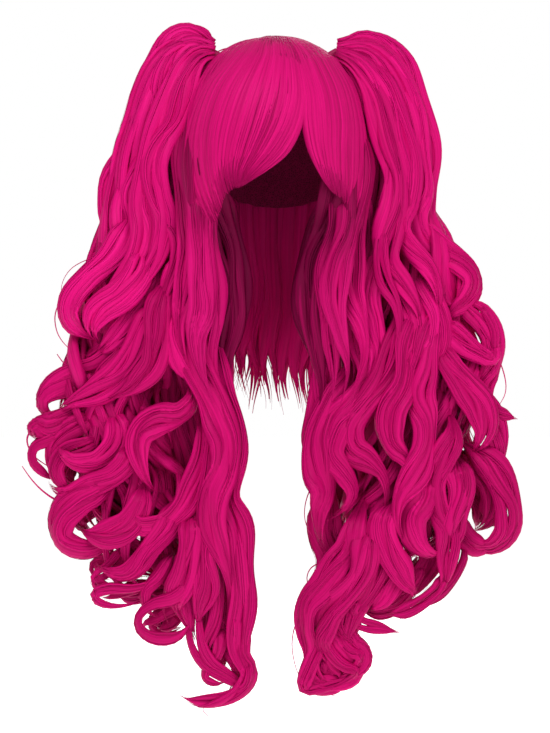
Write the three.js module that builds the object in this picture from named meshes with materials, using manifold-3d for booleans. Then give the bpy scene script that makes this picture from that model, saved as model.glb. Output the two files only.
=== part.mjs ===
// A long curly wig with a full fringe and two high clip-on pigtails.
// Millimetres, +Z up, the face looks along -Y. The origin is the inside of the cap's crown,
// where the top of the head rests. Left is the wearer's left, which is +X.
import * as THREE from "three";
import { mergeVertices } from "three/addons/utils/BufferGeometryUtils.js";
import Module from "manifold-3d";

// Head that the wig fits
const HEAD_HALF_BREADTH = 78;
const HEAD_HALF_LENGTH = 97;
const HEAD_WIDEST_DROP = 88;
const HEAD_FORM_DEPTH = 178;
const HEAD_ROUNDNESS = 2.15;
const HEAD_TAPER = 0.1;

// Cap
const CAP_WALL = 2;
const CAP_FRONT_DROP = 50;
const CAP_EAR_DROP = 118;
const CAP_NAPE_DROP = 160;
const CAP_RIM_CURVE = 1.3;

// Hair that lies on the cap
const HAIR_TOP = 11.6;
const HAIR_SIDE = 22;
const HAIR_FRONT_AND_BACK = 17;
const HAIR_WIDEST_DROP = 135;
const HAIR_RIM_DROP = 150;
const HAIR_RIDGE = 1.3;
const HAIR_ROUNDNESS = 2.4;
const HAIR_TAPER = 0.3;

// Fringe
const FRINGE_DROP = 150;
const FRINGE_BEVEL = 14;
const FRINGE_RIDGE = 1.8;

// Side locks and back hair, which hang from the rim of the hair on the cap
const SIDE_LOCK_LENGTH = 312;
const SIDE_LOCK_HALF_WIDTH = 15;
const SIDE_LOCK_HALF_THICKNESS = 10;
const SIDE_LOCK_WAVE = 8;
const SIDE_LOCK_REACH = 100;
const SIDE_LOCK_FORWARD = 8;
const SIDE_LOCK_OVERRUN = 8;
const BACK_HAIR_LENGTH = 245;
const BACK_HAIR_RIDGE = 3.5;
const BACK_HAIR_END_THICKNESS = 10;
const BACK_HAIR_FROM_AZIMUTH = 98;

// Pigtails and their clips
const CLIP_SEAT_DROP = 8;
const CLIP_SEAT_BACK = 6;
const CLIP_HEIGHT = 6;
const CLIP_LENGTH = 42;
const CLIP_WIDTH = 16;
const CLIP_CORNER = 4;
const CLIP_TILT_DEG = 30;
const PIGTAIL_LENGTH = 690;
const PIGTAIL_SPREAD = 100;
const PIGTAIL_HALF_WIDTH = 90;
const PIGTAIL_HALF_DEPTH = 56;
const PIGTAIL_FORWARD = 34;
const CURL_RADIUS = 22;
const CURL_HALF_WIDTH = 18;
const CURL_HALF_THICKNESS = 12;
const CURL_START = 0.15;
const CURL_GROWTH = 1.6;

// Room between neighbouring pieces
const CLEARANCE = 0.3;

// Fineness of the facets
const HEAD_SECTORS = 28;
const HEAD_LEVELS = 6;
const HAIR_SECTORS = 48;
const HAIR_LEVELS = 8;
const STRIP_SIDES = 6;
const STEPS_PER_TURN = 6;
const CORE_SIDES = 9;
const BACK_COLUMNS = 20;
const BACK_LEVELS = 7;
const LEVEL_SPACING = 1.75;

// Forms that are shares, counts or turns
const DEGREE = Math.PI / 180;
const FRONT_RIDGES = 12;
const RIDGE_SWEEP = 1.6;
const RIDGE_ONSET = 3;
const BACK_LOCKS = 5;
const BACK_LOCK_SWEEP = 2.2;
const BACK_HAIR_NARROWING = 0.17;
const BACK_HAIR_POINT = 0.16;
const SIDE_LOCK_MIDDLE_AT = 0.25;
const SIDE_LOCK_LOW_AT = 0.6;
const STRIP_START_SHARE = 0.35;
const STRIP_TIP_SHARE = 0.12;
const STRIP_TAPER = 4;
const RIM_CUT_INNER_SHARE = 0.6;

// Lower edge of the fringe by azimuth from the front, positive to the wearer's left.
// drop is a share of FRINGE_DROP.
const FRINGE_EDGE = [
  { azimuth: -44, drop: 1.0 },
  { azimuth: -37, drop: 1.0 },
  { azimuth: -33, drop: 0.98 },
  { azimuth: -27, drop: 0.955 },
  { azimuth: -21, drop: 0.925 },
  { azimuth: -18, drop: 0.955 },
  { azimuth: -11, drop: 0.92 },
  { azimuth: 0, drop: 0.84 },
  { azimuth: 9, drop: 0.73 },
  { azimuth: 15, drop: 0.62 },
  { azimuth: 18, drop: 0.5 },
  { azimuth: 21, drop: 0.62 },
  { azimuth: 25, drop: 0.8 },
  { azimuth: 30, drop: 0.9 },
  { azimuth: 34, drop: 0.975 },
  { azimuth: 44, drop: 1.02 },
];
const FRINGE_PARTING_AZIMUTH = 18;
const FRINGE_SIDE_AZIMUTH = 40;

// Pigtail sections from the clip to the tips. out, drop and forward place the middle as shares of
// PIGTAIL_SPREAD, PIGTAIL_LENGTH and PIGTAIL_FORWARD; halfWidth and halfDepth are the whole
// bundle's, and core is the part of them that the solid middle fills.
const LEFT_PIGTAIL = [
  { out: 0.0, drop: 0.0, forward: 0.0, halfWidth: 0.13, halfDepth: 0.44, core: 1.0 },
  { out: 0.12, drop: -0.006, forward: 0.02, halfWidth: 0.24, halfDepth: 0.49, core: 1.0 },
  { out: 0.29, drop: 0.003, forward: 0.05, halfWidth: 0.33, halfDepth: 0.54, core: 1.0 },
  { out: 0.44, drop: 0.03, forward: 0.1, halfWidth: 0.38, halfDepth: 0.58, core: 1.0 },
  { out: 0.57, drop: 0.069, forward: 0.16, halfWidth: 0.39, halfDepth: 0.6, core: 1.0 },
  { out: 0.67, drop: 0.12, forward: 0.24, halfWidth: 0.39, halfDepth: 0.62, core: 1.0 },
  { out: 0.73, drop: 0.18, forward: 0.34, halfWidth: 0.38, halfDepth: 0.64, core: 1.0 },
  { out: 0.74, drop: 0.244, forward: 0.46, halfWidth: 0.38, halfDepth: 0.7, core: 0.96 },
  { out: 0.86, drop: 0.312, forward: 0.58, halfWidth: 0.56, halfDepth: 0.8, core: 0.85 },
  { out: 0.91, drop: 0.403, forward: 0.7, halfWidth: 0.74, halfDepth: 0.9, core: 0.72 },
  { out: 0.92, drop: 0.502, forward: 0.8, halfWidth: 0.89, halfDepth: 1.0, core: 0.62 },
  { out: 0.91, drop: 0.608, forward: 0.88, halfWidth: 0.98, halfDepth: 1.0, core: 0.56 },
  { out: 0.81, drop: 0.707, forward: 0.95, halfWidth: 1.08, halfDepth: 0.96, core: 0.5 },
  { out: 0.53, drop: 0.783, forward: 1.0, halfWidth: 0.88, halfDepth: 0.84, core: 0.46 },
  { out: 0.19, drop: 0.849, forward: 1.0, halfWidth: 0.66, halfDepth: 0.64, core: 0.42 },
  { out: -0.05, drop: 0.913, forward: 1.0, halfWidth: 0.44, halfDepth: 0.42, core: 0.3 },
  { out: -0.23, drop: 0.97, forward: 1.0, halfWidth: 0.21, halfDepth: 0.22, core: 0.2 },
];
const RIGHT_PIGTAIL = [
  { out: 0.0, drop: 0.0, forward: 0.0, halfWidth: 0.13, halfDepth: 0.44, core: 1.0 },
  { out: 0.11, drop: -0.007, forward: 0.02, halfWidth: 0.24, halfDepth: 0.49, core: 1.0 },
  { out: 0.27, drop: 0.0, forward: 0.05, halfWidth: 0.33, halfDepth: 0.54, core: 1.0 },
  { out: 0.42, drop: 0.024, forward: 0.1, halfWidth: 0.36, halfDepth: 0.58, core: 1.0 },
  { out: 0.55, drop: 0.063, forward: 0.16, halfWidth: 0.35, halfDepth: 0.6, core: 1.0 },
  { out: 0.65, drop: 0.107, forward: 0.24, halfWidth: 0.34, halfDepth: 0.62, core: 1.0 },
  { out: 0.77, drop: 0.168, forward: 0.34, halfWidth: 0.4, halfDepth: 0.64, core: 1.0 },
  { out: 0.8, drop: 0.244, forward: 0.46, halfWidth: 0.47, halfDepth: 0.7, core: 0.96 },
  { out: 0.845, drop: 0.323, forward: 0.58, halfWidth: 0.62, halfDepth: 0.8, core: 0.85 },
  { out: 0.925, drop: 0.411, forward: 0.7, halfWidth: 0.73, halfDepth: 0.9, core: 0.72 },
  { out: 1.0, drop: 0.51, forward: 0.8, halfWidth: 0.82, halfDepth: 1.0, core: 0.62 },
  { out: 1.0, drop: 0.609, forward: 0.88, halfWidth: 0.85, halfDepth: 1.0, core: 0.56 },
  { out: 0.8, drop: 0.707, forward: 0.95, halfWidth: 1.0, halfDepth: 0.96, core: 0.5 },
  { out: 0.5, drop: 0.783, forward: 1.0, halfWidth: 0.9, halfDepth: 0.84, core: 0.46 },
  { out: 0.2, drop: 0.86, forward: 1.0, halfWidth: 0.68, halfDepth: 0.64, core: 0.42 },
  { out: -0.08, drop: 0.931, forward: 1.0, halfWidth: 0.38, halfDepth: 0.42, core: 0.3 },
  { out: 0.06, drop: 0.995, forward: 1.0, halfWidth: 0.22, halfDepth: 0.22, core: 0.2 },
];

// Curls of a pigtail. lane is the curl's place across the bundle, 1 on the outer side, and layer
// its place in depth, 1 in front; from and to are shares of the pigtail's length, phase is in
// turns, and curl and width are shares of CURL_RADIUS and CURL_HALF_WIDTH.
const CURLS = [
  { lane: 0.8, layer: 0.2, from: 0.2, to: 0.82, turns: 4.0, phase: 0.1, curl: 1.0, width: 1.0 },
  { lane: 0.1, layer: 0.8, from: 0.14, to: 0.94, turns: 4.5, phase: 0.45, curl: 0.95, width: 1.1 },
  { lane: -0.75, layer: 0.3, from: 0.26, to: 1.0, turns: 4.2, phase: 0.8, curl: 0.85, width: 0.95 },
  { lane: 0.45, layer: -0.7, from: 0.18, to: 0.87, turns: 4.0, phase: 0.9, curl: 1.0, width: 1.05 },
  { lane: -0.4, layer: -0.7, from: 0.22, to: 0.93, turns: 4.2, phase: 0.25, curl: 0.9, width: 1.05 },
];

// Locks on each side of the face. azimuth is where one leaves the rim of the hair; middle, low and
// tip are shares of SIDE_LOCK_REACH out from the centre at SIDE_LOCK_MIDDLE_AT, SIDE_LOCK_LOW_AT
// and the tip of the lock.
const SIDE_LOCKS = [
  { azimuth: 50, end: 1.0, turns: 2.8, phase: 0.0, middle: 0.56, low: 0.5, tip: 0.56 },
  { azimuth: 64, end: 0.9, turns: 2.4, phase: 0.4, middle: 0.71, low: 0.6, tip: 0.6 },
  { azimuth: 78, end: 0.75, turns: 1.9, phase: 0.75, middle: 0.82, low: 0.68, tip: 0.66 },
];

const wasm = await Module();
wasm.setup();

// A solid of a closed geometry, for joins and cuts.
function solidOf(geometry) {
  const bare = geometry.clone();
  bare.deleteAttribute("normal");
  bare.deleteAttribute("uv");
  const merged = mergeVertices(bare, 1e-4);
  return new wasm.Manifold(
    new wasm.Mesh({
      numProp: 3,
      vertProperties: new Float32Array(merged.attributes.position.array),
      triVerts: new Uint32Array(merged.index.array),
    }),
  );
}

// The geometry of a solid.
function geometryOf(body) {
  const mesh = body.getMesh();
  const geometry = new THREE.BufferGeometry();
  geometry.setAttribute("position", new THREE.BufferAttribute(mesh.vertProperties, 3));
  geometry.setIndex(new THREE.BufferAttribute(mesh.triVerts, 1));
  const faceted = geometry.toNonIndexed();
  faceted.computeVertexNormals();
  return faceted;
}

// The same solid with the hollows that it shuts in filled.
function filled(body) {
  return wasm.Manifold.compose(body.decompose().filter((part) => part.volume() > 0));
}

// A closed skin through rings of equally many points, shut by a fan at each end. Each ring runs
// counter-clockwise when it is seen from the last ring.
function skin(rings) {
  const sides = rings[0].length;
  const places = rings.flat();
  const first = places.length;
  places.push(middleOf(rings[0]), middleOf(rings[rings.length - 1]));
  const faces = [];
  for (let r = 0; r + 1 < rings.length; r++) {
    for (let i = 0; i < sides; i++) {
      const a = r * sides + i;
      const b = r * sides + ((i + 1) % sides);
      faces.push(a, b, b + sides, a, b + sides, a + sides);
    }
  }
  const last = (rings.length - 1) * sides;
  for (let i = 0; i < sides; i++) {
    faces.push(first, (i + 1) % sides, i);
    faces.push(first + 1, last + i, last + ((i + 1) % sides));
  }
  const geometry = new THREE.BufferGeometry().setFromPoints(places);
  geometry.setIndex(faces);
  return geometry;
}

function middleOf(ring) {
  const sum = new THREE.Vector3();
  ring.forEach((point) => sum.add(point));
  return sum.divideScalar(ring.length);
}

// A point of a dome at an azimuth from the front and a drop below its top.
function domePoint(form, azimuth, drop) {
  const level = drop / form.widest;
  const share =
    level < 1
      ? Math.pow(1 - Math.pow(1 - level, form.roundness), 1 / form.roundness)
      : 1 - form.taper * (level - 1) * (level - 1);
  const wave = Math.cos(FRONT_RIDGES * azimuth + RIDGE_SWEEP * level * Math.sign(azimuth));
  const ridge = form.ridge * wave * Math.min(1, level * RIDGE_ONSET);
  return new THREE.Vector3(
    (form.halfBreadth * share + ridge) * Math.sin(azimuth),
    -(form.halfLength * share + ridge) * Math.cos(azimuth),
    form.top - drop,
  );
}

// A closed dome with a flat underside.
function dome(form, sectors, levels) {
  const rings = [];
  for (let j = 1; j <= levels; j++) {
    const drop = form.depth * Math.pow(j / levels, LEVEL_SPACING);
    const ring = [];
    for (let i = 0; i < sectors; i++) {
      ring.push(domePoint(form, ((i + 0.5) / sectors - 0.5) * 2 * Math.PI, drop));
    }
    rings.push(ring);
  }
  const geometry = skin(rings.reverse());
  const places = geometry.getAttribute("position");
  places.setXYZ(places.count - 1, 0, 0, form.top);
  return solidOf(geometry);
}

// The head's own form, grown all round.
function headForm(grow) {
  return {
    halfBreadth: HEAD_HALF_BREADTH + grow,
    halfLength: HEAD_HALF_LENGTH + grow,
    top: grow,
    widest: HEAD_WIDEST_DROP + grow,
    depth: HEAD_FORM_DEPTH + 2 * grow,
    roundness: HEAD_ROUNDNESS,
    taper: HEAD_TAPER,
    ridge: 0,
  };
}

// The outside of the hair that lies on the cap, grown all round.
function hairForm(grow, ridge, rimDrop) {
  const top = CAP_WALL + HAIR_TOP;
  return {
    halfBreadth: HEAD_HALF_BREADTH + CAP_WALL + HAIR_SIDE + grow,
    halfLength: HEAD_HALF_LENGTH + CAP_WALL + HAIR_FRONT_AND_BACK + grow,
    top: top + grow,
    widest: HAIR_WIDEST_DROP + top + grow,
    depth: rimDrop + top + grow,
    roundness: HAIR_ROUNDNESS,
    taper: HAIR_TAPER,
    ridge,
  };
}

// All that lies below a rim whose drop depends on the azimuth. The rim is higher by bevel on the
// inner side.
function belowRim(rimDrop, bevel, sectors = 2 * HAIR_SECTORS) {
  const inner = RIM_CUT_INNER_SHARE * HEAD_HALF_BREADTH;
  const outer = 2 * HEAD_HALF_LENGTH;
  const floor = -HEAD_FORM_DEPTH - PIGTAIL_LENGTH;
  const rings = [];
  for (const [radius, lift] of [[outer, null], [outer, -bevel], [inner, bevel]]) {
    const ring = [];
    for (let i = 0; i < sectors; i++) {
      const azimuth = (i / sectors - 0.5) * 2 * Math.PI;
      const z = lift === null ? floor : lift - rimDrop(azimuth);
      ring.push(new THREE.Vector3(radius * Math.sin(azimuth), -radius * Math.cos(azimuth), z));
    }
    rings.push(ring);
  }
  return solidOf(skin(rings));
}

// A wedge of space that opens from the middle of the head between two azimuths, widened by grow.
function wedge(fromDeg, toDeg, grow) {
  const middle = ((fromDeg + toDeg) / 2) * DEGREE;
  const half = ((toDeg - fromDeg) / 2) * DEGREE;
  const reach = 3 * HEAD_HALF_LENGTH;
  const apex = -grow / Math.sin(half);
  const outline = new THREE.Shape();
  for (const [turn, radius] of [[0, 0], [-half, reach], [half, reach]]) {
    const x = apex * Math.sin(middle) + radius * Math.sin(middle + turn);
    const y = -apex * Math.cos(middle) - radius * Math.cos(middle + turn);
    if (radius === 0) outline.moveTo(x, y);
    else outline.lineTo(x, y);
  }
  const height = 3 * HEAD_FORM_DEPTH;
  const block = new THREE.ExtrudeGeometry(outline, { depth: height, bevelEnabled: false });
  block.translate(0, 0, -2 * HEAD_FORM_DEPTH);
  return solidOf(block);
}

// A value from a table, read between its rows along one column.
function read(table, along, at, column) {
  const next = table.findIndex((row) => row[along] > at);
  if (next === 0) return table[0][column];
  if (next < 0) return table[table.length - 1][column];
  const a = table[next - 1];
  const b = table[next];
  return a[column] + ((b[column] - a[column]) * (at - a[along])) / (b[along] - a[along]);
}

// A curl or a wavy lock: a flat strip that winds round a hanging line. line gives the line's point
// at s from 0 to 1, radius the winding's, and halfWidth the strip's; its flat side faces outward.
function strip({ line, turns, phase, radius, halfWidth, halfThickness }) {
  const steps = Math.ceil(turns * STEPS_PER_TURN);
  const angleAt = (s) => 2 * Math.PI * (phase + turns * s);
  const outwardAt = (s) => new THREE.Vector3(Math.cos(angleAt(s)), Math.sin(angleAt(s)), 0);
  const placeAt = (s) => line(s).add(outwardAt(s).multiplyScalar(radius(s)));
  const rings = [];
  for (let k = 0; k <= steps; k++) {
    const s = k / steps;
    const along = placeAt(Math.min(1, s + 0.01)).sub(placeAt(Math.max(0, s - 0.01))).normalize();
    const outward = outwardAt(s);
    outward.addScaledVector(along, -outward.dot(along)).normalize();
    const across = along.clone().cross(outward);
    const opening = STRIP_START_SHARE + STRIP_TAPER * s;
    const closing = STRIP_TIP_SHARE + STRIP_TAPER * (1 - s);
    const taper = Math.min(1, opening, closing);
    const ring = [];
    for (let i = 0; i < STRIP_SIDES; i++) {
      const turn = (2 * Math.PI * i) / STRIP_SIDES;
      const point = placeAt(s);
      point.addScaledVector(outward, halfThickness * taper * Math.sin(turn));
      point.addScaledVector(across, -halfWidth * taper * Math.cos(turn));
      ring.push(point);
    }
    rings.push(ring);
  }
  return solidOf(skin(rings));
}

const headHollow = dome(headForm(CAP_WALL + CLEARANCE), HEAD_SECTORS, HEAD_LEVELS);
const fringeWedge = wedge(-FRINGE_SIDE_AZIMUTH, FRINGE_SIDE_AZIMUTH, CLEARANCE / 2);

// Net cap, from the forehead over the ears to the nape.
function cap() {
  const rim = (azimuth) => {
    const c = Math.cos(azimuth);
    const end = c > 0 ? CAP_FRONT_DROP : CAP_NAPE_DROP;
    return CAP_EAR_DROP + (end - CAP_EAR_DROP) * Math.pow(Math.abs(c), CAP_RIM_CURVE);
  };
  return dome(headForm(CAP_WALL), HEAD_SECTORS, HEAD_LEVELS)
    .subtract(dome(headForm(0), HEAD_SECTORS, HEAD_LEVELS))
    .subtract(belowRim(rim, 0, HEAD_SECTORS));
}

// Hair over the sides and the back of the cap.
function crownHair() {
  return dome(hairForm(0, HAIR_RIDGE, HAIR_RIM_DROP), HAIR_SECTORS, HAIR_LEVELS)
    .subtract(headHollow)
    .subtract(fringeWedge);
}

// One part of the fringe, between two azimuths.
function fringe(fromDeg, toDeg) {
  const rim = (azimuth) =>
    FRINGE_DROP * read(FRINGE_EDGE, "azimuth", azimuth / DEGREE, "drop");
  return dome(hairForm(0, FRINGE_RIDGE, HEAD_FORM_DEPTH), HAIR_SECTORS, HAIR_LEVELS)
    .intersect(wedge(fromDeg, toDeg, -CLEARANCE / 2))
    .subtract(headHollow)
    .subtract(belowRim(rim, FRINGE_BEVEL));
}

// The clip's frame on one side: its seat on the hair, and the way that the pigtail leaves it.
function clipSeat(side) {
  const hair = hairForm(0, 0, HAIR_RIM_DROP);
  const seat = domePoint(hair, (side * Math.PI) / 2, CLIP_SEAT_DROP + hair.top);
  seat.y += CLIP_SEAT_BACK;
  const away = new THREE.Vector3(
    side * Math.cos(CLIP_TILT_DEG * DEGREE),
    0,
    Math.sin(CLIP_TILT_DEG * DEGREE),
  );
  return { seat, away };
}

// Claw clip, a plain rounded bar that the pigtail's wefts are sewn round.
function clip(side) {
  const { seat, away } = clipSeat(side);
  const halfLength = CLIP_LENGTH / 2 - CLIP_CORNER;
  const halfWidth = CLIP_WIDTH / 2 - CLIP_CORNER;
  const outline = new THREE.Shape();
  outline.absarc(halfLength, halfWidth, CLIP_CORNER, 0, Math.PI / 2);
  outline.absarc(-halfLength, halfWidth, CLIP_CORNER, Math.PI / 2, Math.PI);
  outline.absarc(-halfLength, -halfWidth, CLIP_CORNER, Math.PI, 1.5 * Math.PI);
  outline.absarc(halfLength, -halfWidth, CLIP_CORNER, 1.5 * Math.PI, 2 * Math.PI);
  const bar = new THREE.ExtrudeGeometry(outline, {
    depth: 3 * CLIP_HEIGHT,
    bevelEnabled: false,
    curveSegments: 3,
  });
  bar.translate(0, 0, -2 * CLIP_HEIGHT);
  const along = new THREE.Vector3(0, 1, 0);
  const across = away.clone().cross(along);
  bar.applyMatrix4(new THREE.Matrix4().makeBasis(along, across, away).setPosition(seat));
  return solidOf(bar).subtract(
    dome(hairForm(CLEARANCE, HAIR_RIDGE, HAIR_RIM_DROP), HAIR_SECTORS, HAIR_LEVELS),
  );
}

// One pigtail: a solid middle that its curls are fused to.
function pigtail(side, table) {
  const { seat, away } = clipSeat(side);
  const root = seat.clone().addScaledVector(away, CLIP_HEIGHT + CLEARANCE);
  const centre = (row) =>
    new THREE.Vector3(
      root.x + side * PIGTAIL_SPREAD * row.out,
      root.y - PIGTAIL_FORWARD * row.forward,
      root.z - PIGTAIL_LENGTH * row.drop,
    );
  const curve = new THREE.CatmullRomCurve3(table.map(centre), false, "centripetal");
  const middle = table.map((row, k) => {
    const u = k / (table.length - 1);
    const along = k === 0 ? away : curve.getTangent(u);
    const deep = new THREE.Vector3(0, 1, 0);
    const wide = deep.clone().cross(along).normalize();
    const ring = [];
    for (let i = 0; i < CORE_SIDES; i++) {
      const turn = (2 * Math.PI * i) / CORE_SIDES;
      const point = centre(row);
      point.addScaledVector(wide, PIGTAIL_HALF_WIDTH * row.halfWidth * row.core * Math.cos(turn));
      point.addScaledVector(deep, PIGTAIL_HALF_DEPTH * row.halfDepth * row.core * Math.sin(turn));
      ring.push(point);
    }
    return ring;
  });
  let whole = solidOf(skin(middle));
  for (const curl of CURLS) {
    const line = (s) => {
      const drop = curl.from + (curl.to - curl.from) * s;
      const at = (column) => read(table, "drop", drop, column);
      const wide = Math.max(0, PIGTAIL_HALF_WIDTH * at("halfWidth") - CURL_RADIUS * s);
      const deep = Math.max(0, PIGTAIL_HALF_DEPTH * at("halfDepth") - CURL_RADIUS * s);
      return new THREE.Vector3(
        root.x + side * (PIGTAIL_SPREAD * at("out") + curl.lane * wide),
        root.y - PIGTAIL_FORWARD * at("forward") - curl.layer * deep,
        root.z - PIGTAIL_LENGTH * drop,
      );
    };
    const radius = (s) => CURL_RADIUS * curl.curl * Math.min(1, CURL_START + CURL_GROWTH * s);
    whole = whole.add(
      strip({
        line,
        turns: curl.turns,
        phase: side > 0 ? curl.phase : 0.5 - curl.phase,
        radius,
        halfWidth: CURL_HALF_WIDTH * curl.width,
        halfThickness: CURL_HALF_THICKNESS,
      }),
    );
  }
  const hair = dome(hairForm(CLEARANCE, HAIR_RIDGE, HAIR_RIM_DROP), HAIR_SECTORS, HAIR_LEVELS);
  return filled(whole.subtract(hair));
}

// The back hair, a curtain that hangs from the rim and ends in points.
function backHair() {
  const hair = hairForm(0, 0, HAIR_RIM_DROP);
  const rimTop = -HAIR_RIM_DROP - CLEARANCE;
  const span = 2 * (Math.PI - BACK_HAIR_FROM_AZIMUTH * DEGREE);
  const sections = [];
  for (let i = 0; i <= BACK_COLUMNS; i++) {
    const turn = Math.PI + (0.5 - i / BACK_COLUMNS) * span;
    const outer = [];
    const inner = [];
    for (let j = 0; j <= BACK_LEVELS; j++) {
      const s = j / BACK_LEVELS;
      const lock = Math.cos((2 * Math.PI * BACK_LOCKS * i) / BACK_COLUMNS + BACK_LOCK_SWEEP * s);
      const ridge = BACK_HAIR_RIDGE * lock * Math.min(1, RIDGE_ONSET * s);
      const wide = hair.halfBreadth * (1 - BACK_HAIR_NARROWING * Math.min(1, 2 * s));
      const thick = HAIR_FRONT_AND_BACK + (BACK_HAIR_END_THICKNESS - HAIR_FRONT_AND_BACK) * s;
      const z = rimTop - BACK_HAIR_LENGTH * s * (1 - BACK_HAIR_POINT * (0.5 - 0.5 * lock) * s);
      const at = (inset) =>
        new THREE.Vector3(
          (wide - inset + ridge) * Math.sin(turn),
          -(hair.halfLength - inset + ridge) * Math.cos(turn),
          z,
        );
      outer.unshift(at(0));
      inner.push(at(thick));
    }
    sections.push([...outer, ...inner]);
  }
  return solidOf(skin(sections)).subtract(headHollow);
}

// The long locks in front of the ear on one side, which hang from the rim of the hair.
function sideLock(side) {
  const hair = hairForm(0, 0, HAIR_RIM_DROP);
  let whole = null;
  for (const lock of SIDE_LOCKS) {
    const outer = domePoint(hair, side * lock.azimuth * DEGREE, hair.depth);
    const start = outer.multiplyScalar(1 - SIDE_LOCK_HALF_THICKNESS / (HEAD_HALF_BREADTH + HAIR_SIDE));
    const reach = SIDE_LOCK_REACH;
    const rows = [
      { at: 0, x: Math.abs(start.x), y: start.y },
      { at: SIDE_LOCK_MIDDLE_AT, x: reach * lock.middle, y: start.y - SIDE_LOCK_FORWARD / 2 },
      { at: SIDE_LOCK_LOW_AT, x: reach * lock.low, y: start.y - SIDE_LOCK_FORWARD },
      { at: 1, x: reach * lock.tip, y: start.y - SIDE_LOCK_FORWARD },
    ];
    const line = (s) =>
      new THREE.Vector3(
        side * read(rows, "at", s, "x"),
        read(rows, "at", s, "y"),
        SIDE_LOCK_OVERRUN - HAIR_RIM_DROP - SIDE_LOCK_LENGTH * lock.end * s,
      );
    const piece = strip({
      line,
      turns: lock.turns,
      phase: side > 0 ? lock.phase : 0.5 - lock.phase,
      radius: (s) => SIDE_LOCK_WAVE * Math.min(1, CURL_GROWTH * s),
      halfWidth: SIDE_LOCK_HALF_WIDTH,
      halfThickness: SIDE_LOCK_HALF_THICKNESS,
    });
    whole = whole ? whole.add(piece) : piece;
  }
  const underRim = belowRim(() => HAIR_RIM_DROP + CLEARANCE, 0, HEAD_SECTORS);
  return filled(whole.intersect(underRim));
}

const hairStyle = { color: 0xd6176e, roughness: 0.42, metalness: 0 };
const clipStyle = { color: 0x5a1030, roughness: 0.4, metalness: 0 };
const capStyle = { color: 0x8c0f4a, roughness: 0.9, metalness: 0 };

const wig = new THREE.Group();

function place(name, body, style) {
  const mesh = new THREE.Mesh(geometryOf(body), new THREE.MeshStandardMaterial(style));
  mesh.name = name;
  wig.add(mesh);
}

place("wig_cap", cap(), capStyle);
place("crown_hair", crownHair(), hairStyle);
place("fringe_right", fringe(-FRINGE_SIDE_AZIMUTH, FRINGE_PARTING_AZIMUTH), hairStyle);
place("fringe_left", fringe(FRINGE_PARTING_AZIMUTH, FRINGE_SIDE_AZIMUTH), hairStyle);
place("clip_left", clip(1), clipStyle);
place("clip_right", clip(-1), clipStyle);
place("side_lock_left", sideLock(1), hairStyle);
place("side_lock_right", sideLock(-1), hairStyle);
place("back_hair", backHair(), hairStyle);
place("pigtail_left", pigtail(1, LEFT_PIGTAIL), hairStyle);
place("pigtail_right", pigtail(-1, RIGHT_PIGTAIL), hairStyle);

export default wig;
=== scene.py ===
import math

import bpy
import numpy as np
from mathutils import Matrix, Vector


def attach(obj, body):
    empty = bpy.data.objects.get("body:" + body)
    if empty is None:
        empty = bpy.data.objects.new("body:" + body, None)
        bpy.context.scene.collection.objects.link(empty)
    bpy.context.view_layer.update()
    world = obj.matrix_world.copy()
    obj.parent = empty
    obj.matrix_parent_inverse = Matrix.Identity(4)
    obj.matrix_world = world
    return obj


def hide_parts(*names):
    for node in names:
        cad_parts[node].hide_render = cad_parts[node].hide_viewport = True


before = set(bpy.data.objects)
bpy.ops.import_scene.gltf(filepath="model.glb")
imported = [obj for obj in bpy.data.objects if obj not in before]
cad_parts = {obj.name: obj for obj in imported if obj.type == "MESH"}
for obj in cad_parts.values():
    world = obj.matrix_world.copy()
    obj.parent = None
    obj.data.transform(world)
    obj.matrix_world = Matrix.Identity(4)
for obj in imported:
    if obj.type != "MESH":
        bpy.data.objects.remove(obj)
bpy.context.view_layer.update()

rng = np.random.default_rng(11)

# The photograph's frame. A pixel is 1.05 mm on the plane through the middle of the head.
PHOTO_WIDTH, PHOTO_HEIGHT = 550, 733
PIXEL = 1.05
CENTRE_PIXEL_X, TOP_PIXEL_Y = 274, 51
CAMERA_DISTANCE = 3000.0
AIM_X = (PHOTO_WIDTH / 2 - CENTRE_PIXEL_X) * PIXEL
AIM_Z = (TOP_PIXEL_Y - PHOTO_HEIGHT / 2) * PIXEL

# Sizes in millimetres, as in the part's source, until a mesh is made in metres.
MM = 0.001
HEAD_HALF_BREADTH = 78.0
HEAD_HALF_LENGTH = 97.0
CAP_WALL = 2.0
HAIR_TOP = 11.6
HAIR_SIDE = 22.0
HAIR_FRONT_AND_BACK = 17.0
HAIR_WIDEST_DROP = 135.0
HAIR_RIM_DROP = 150.0
HAIR_ROUNDNESS = 2.4
HAIR_TAPER = 0.3
HAIR_TOP_Z = CAP_WALL + HAIR_TOP
HAIR_HALF_BREADTH = HEAD_HALF_BREADTH + CAP_WALL + HAIR_SIDE
HAIR_HALF_LENGTH = HEAD_HALF_LENGTH + CAP_WALL + HAIR_FRONT_AND_BACK

CLIP_SEAT_DROP = 8.0
CLIP_SEAT_BACK = 6.0
CLIP_HEIGHT = 6.0
CLIP_TILT = math.radians(30)
CLEARANCE = 0.3
PIGTAIL_LENGTH = 690.0
PIGTAIL_SPREAD = 100.0
PIGTAIL_HALF_WIDTH = 90.0
PIGTAIL_HALF_DEPTH = 56.0
PIGTAIL_FORWARD = 34.0
CURL_RADIUS = 22.0

BACK_HAIR_LENGTH = 245.0
BACK_HAIR_NARROWING = 0.17

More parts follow.
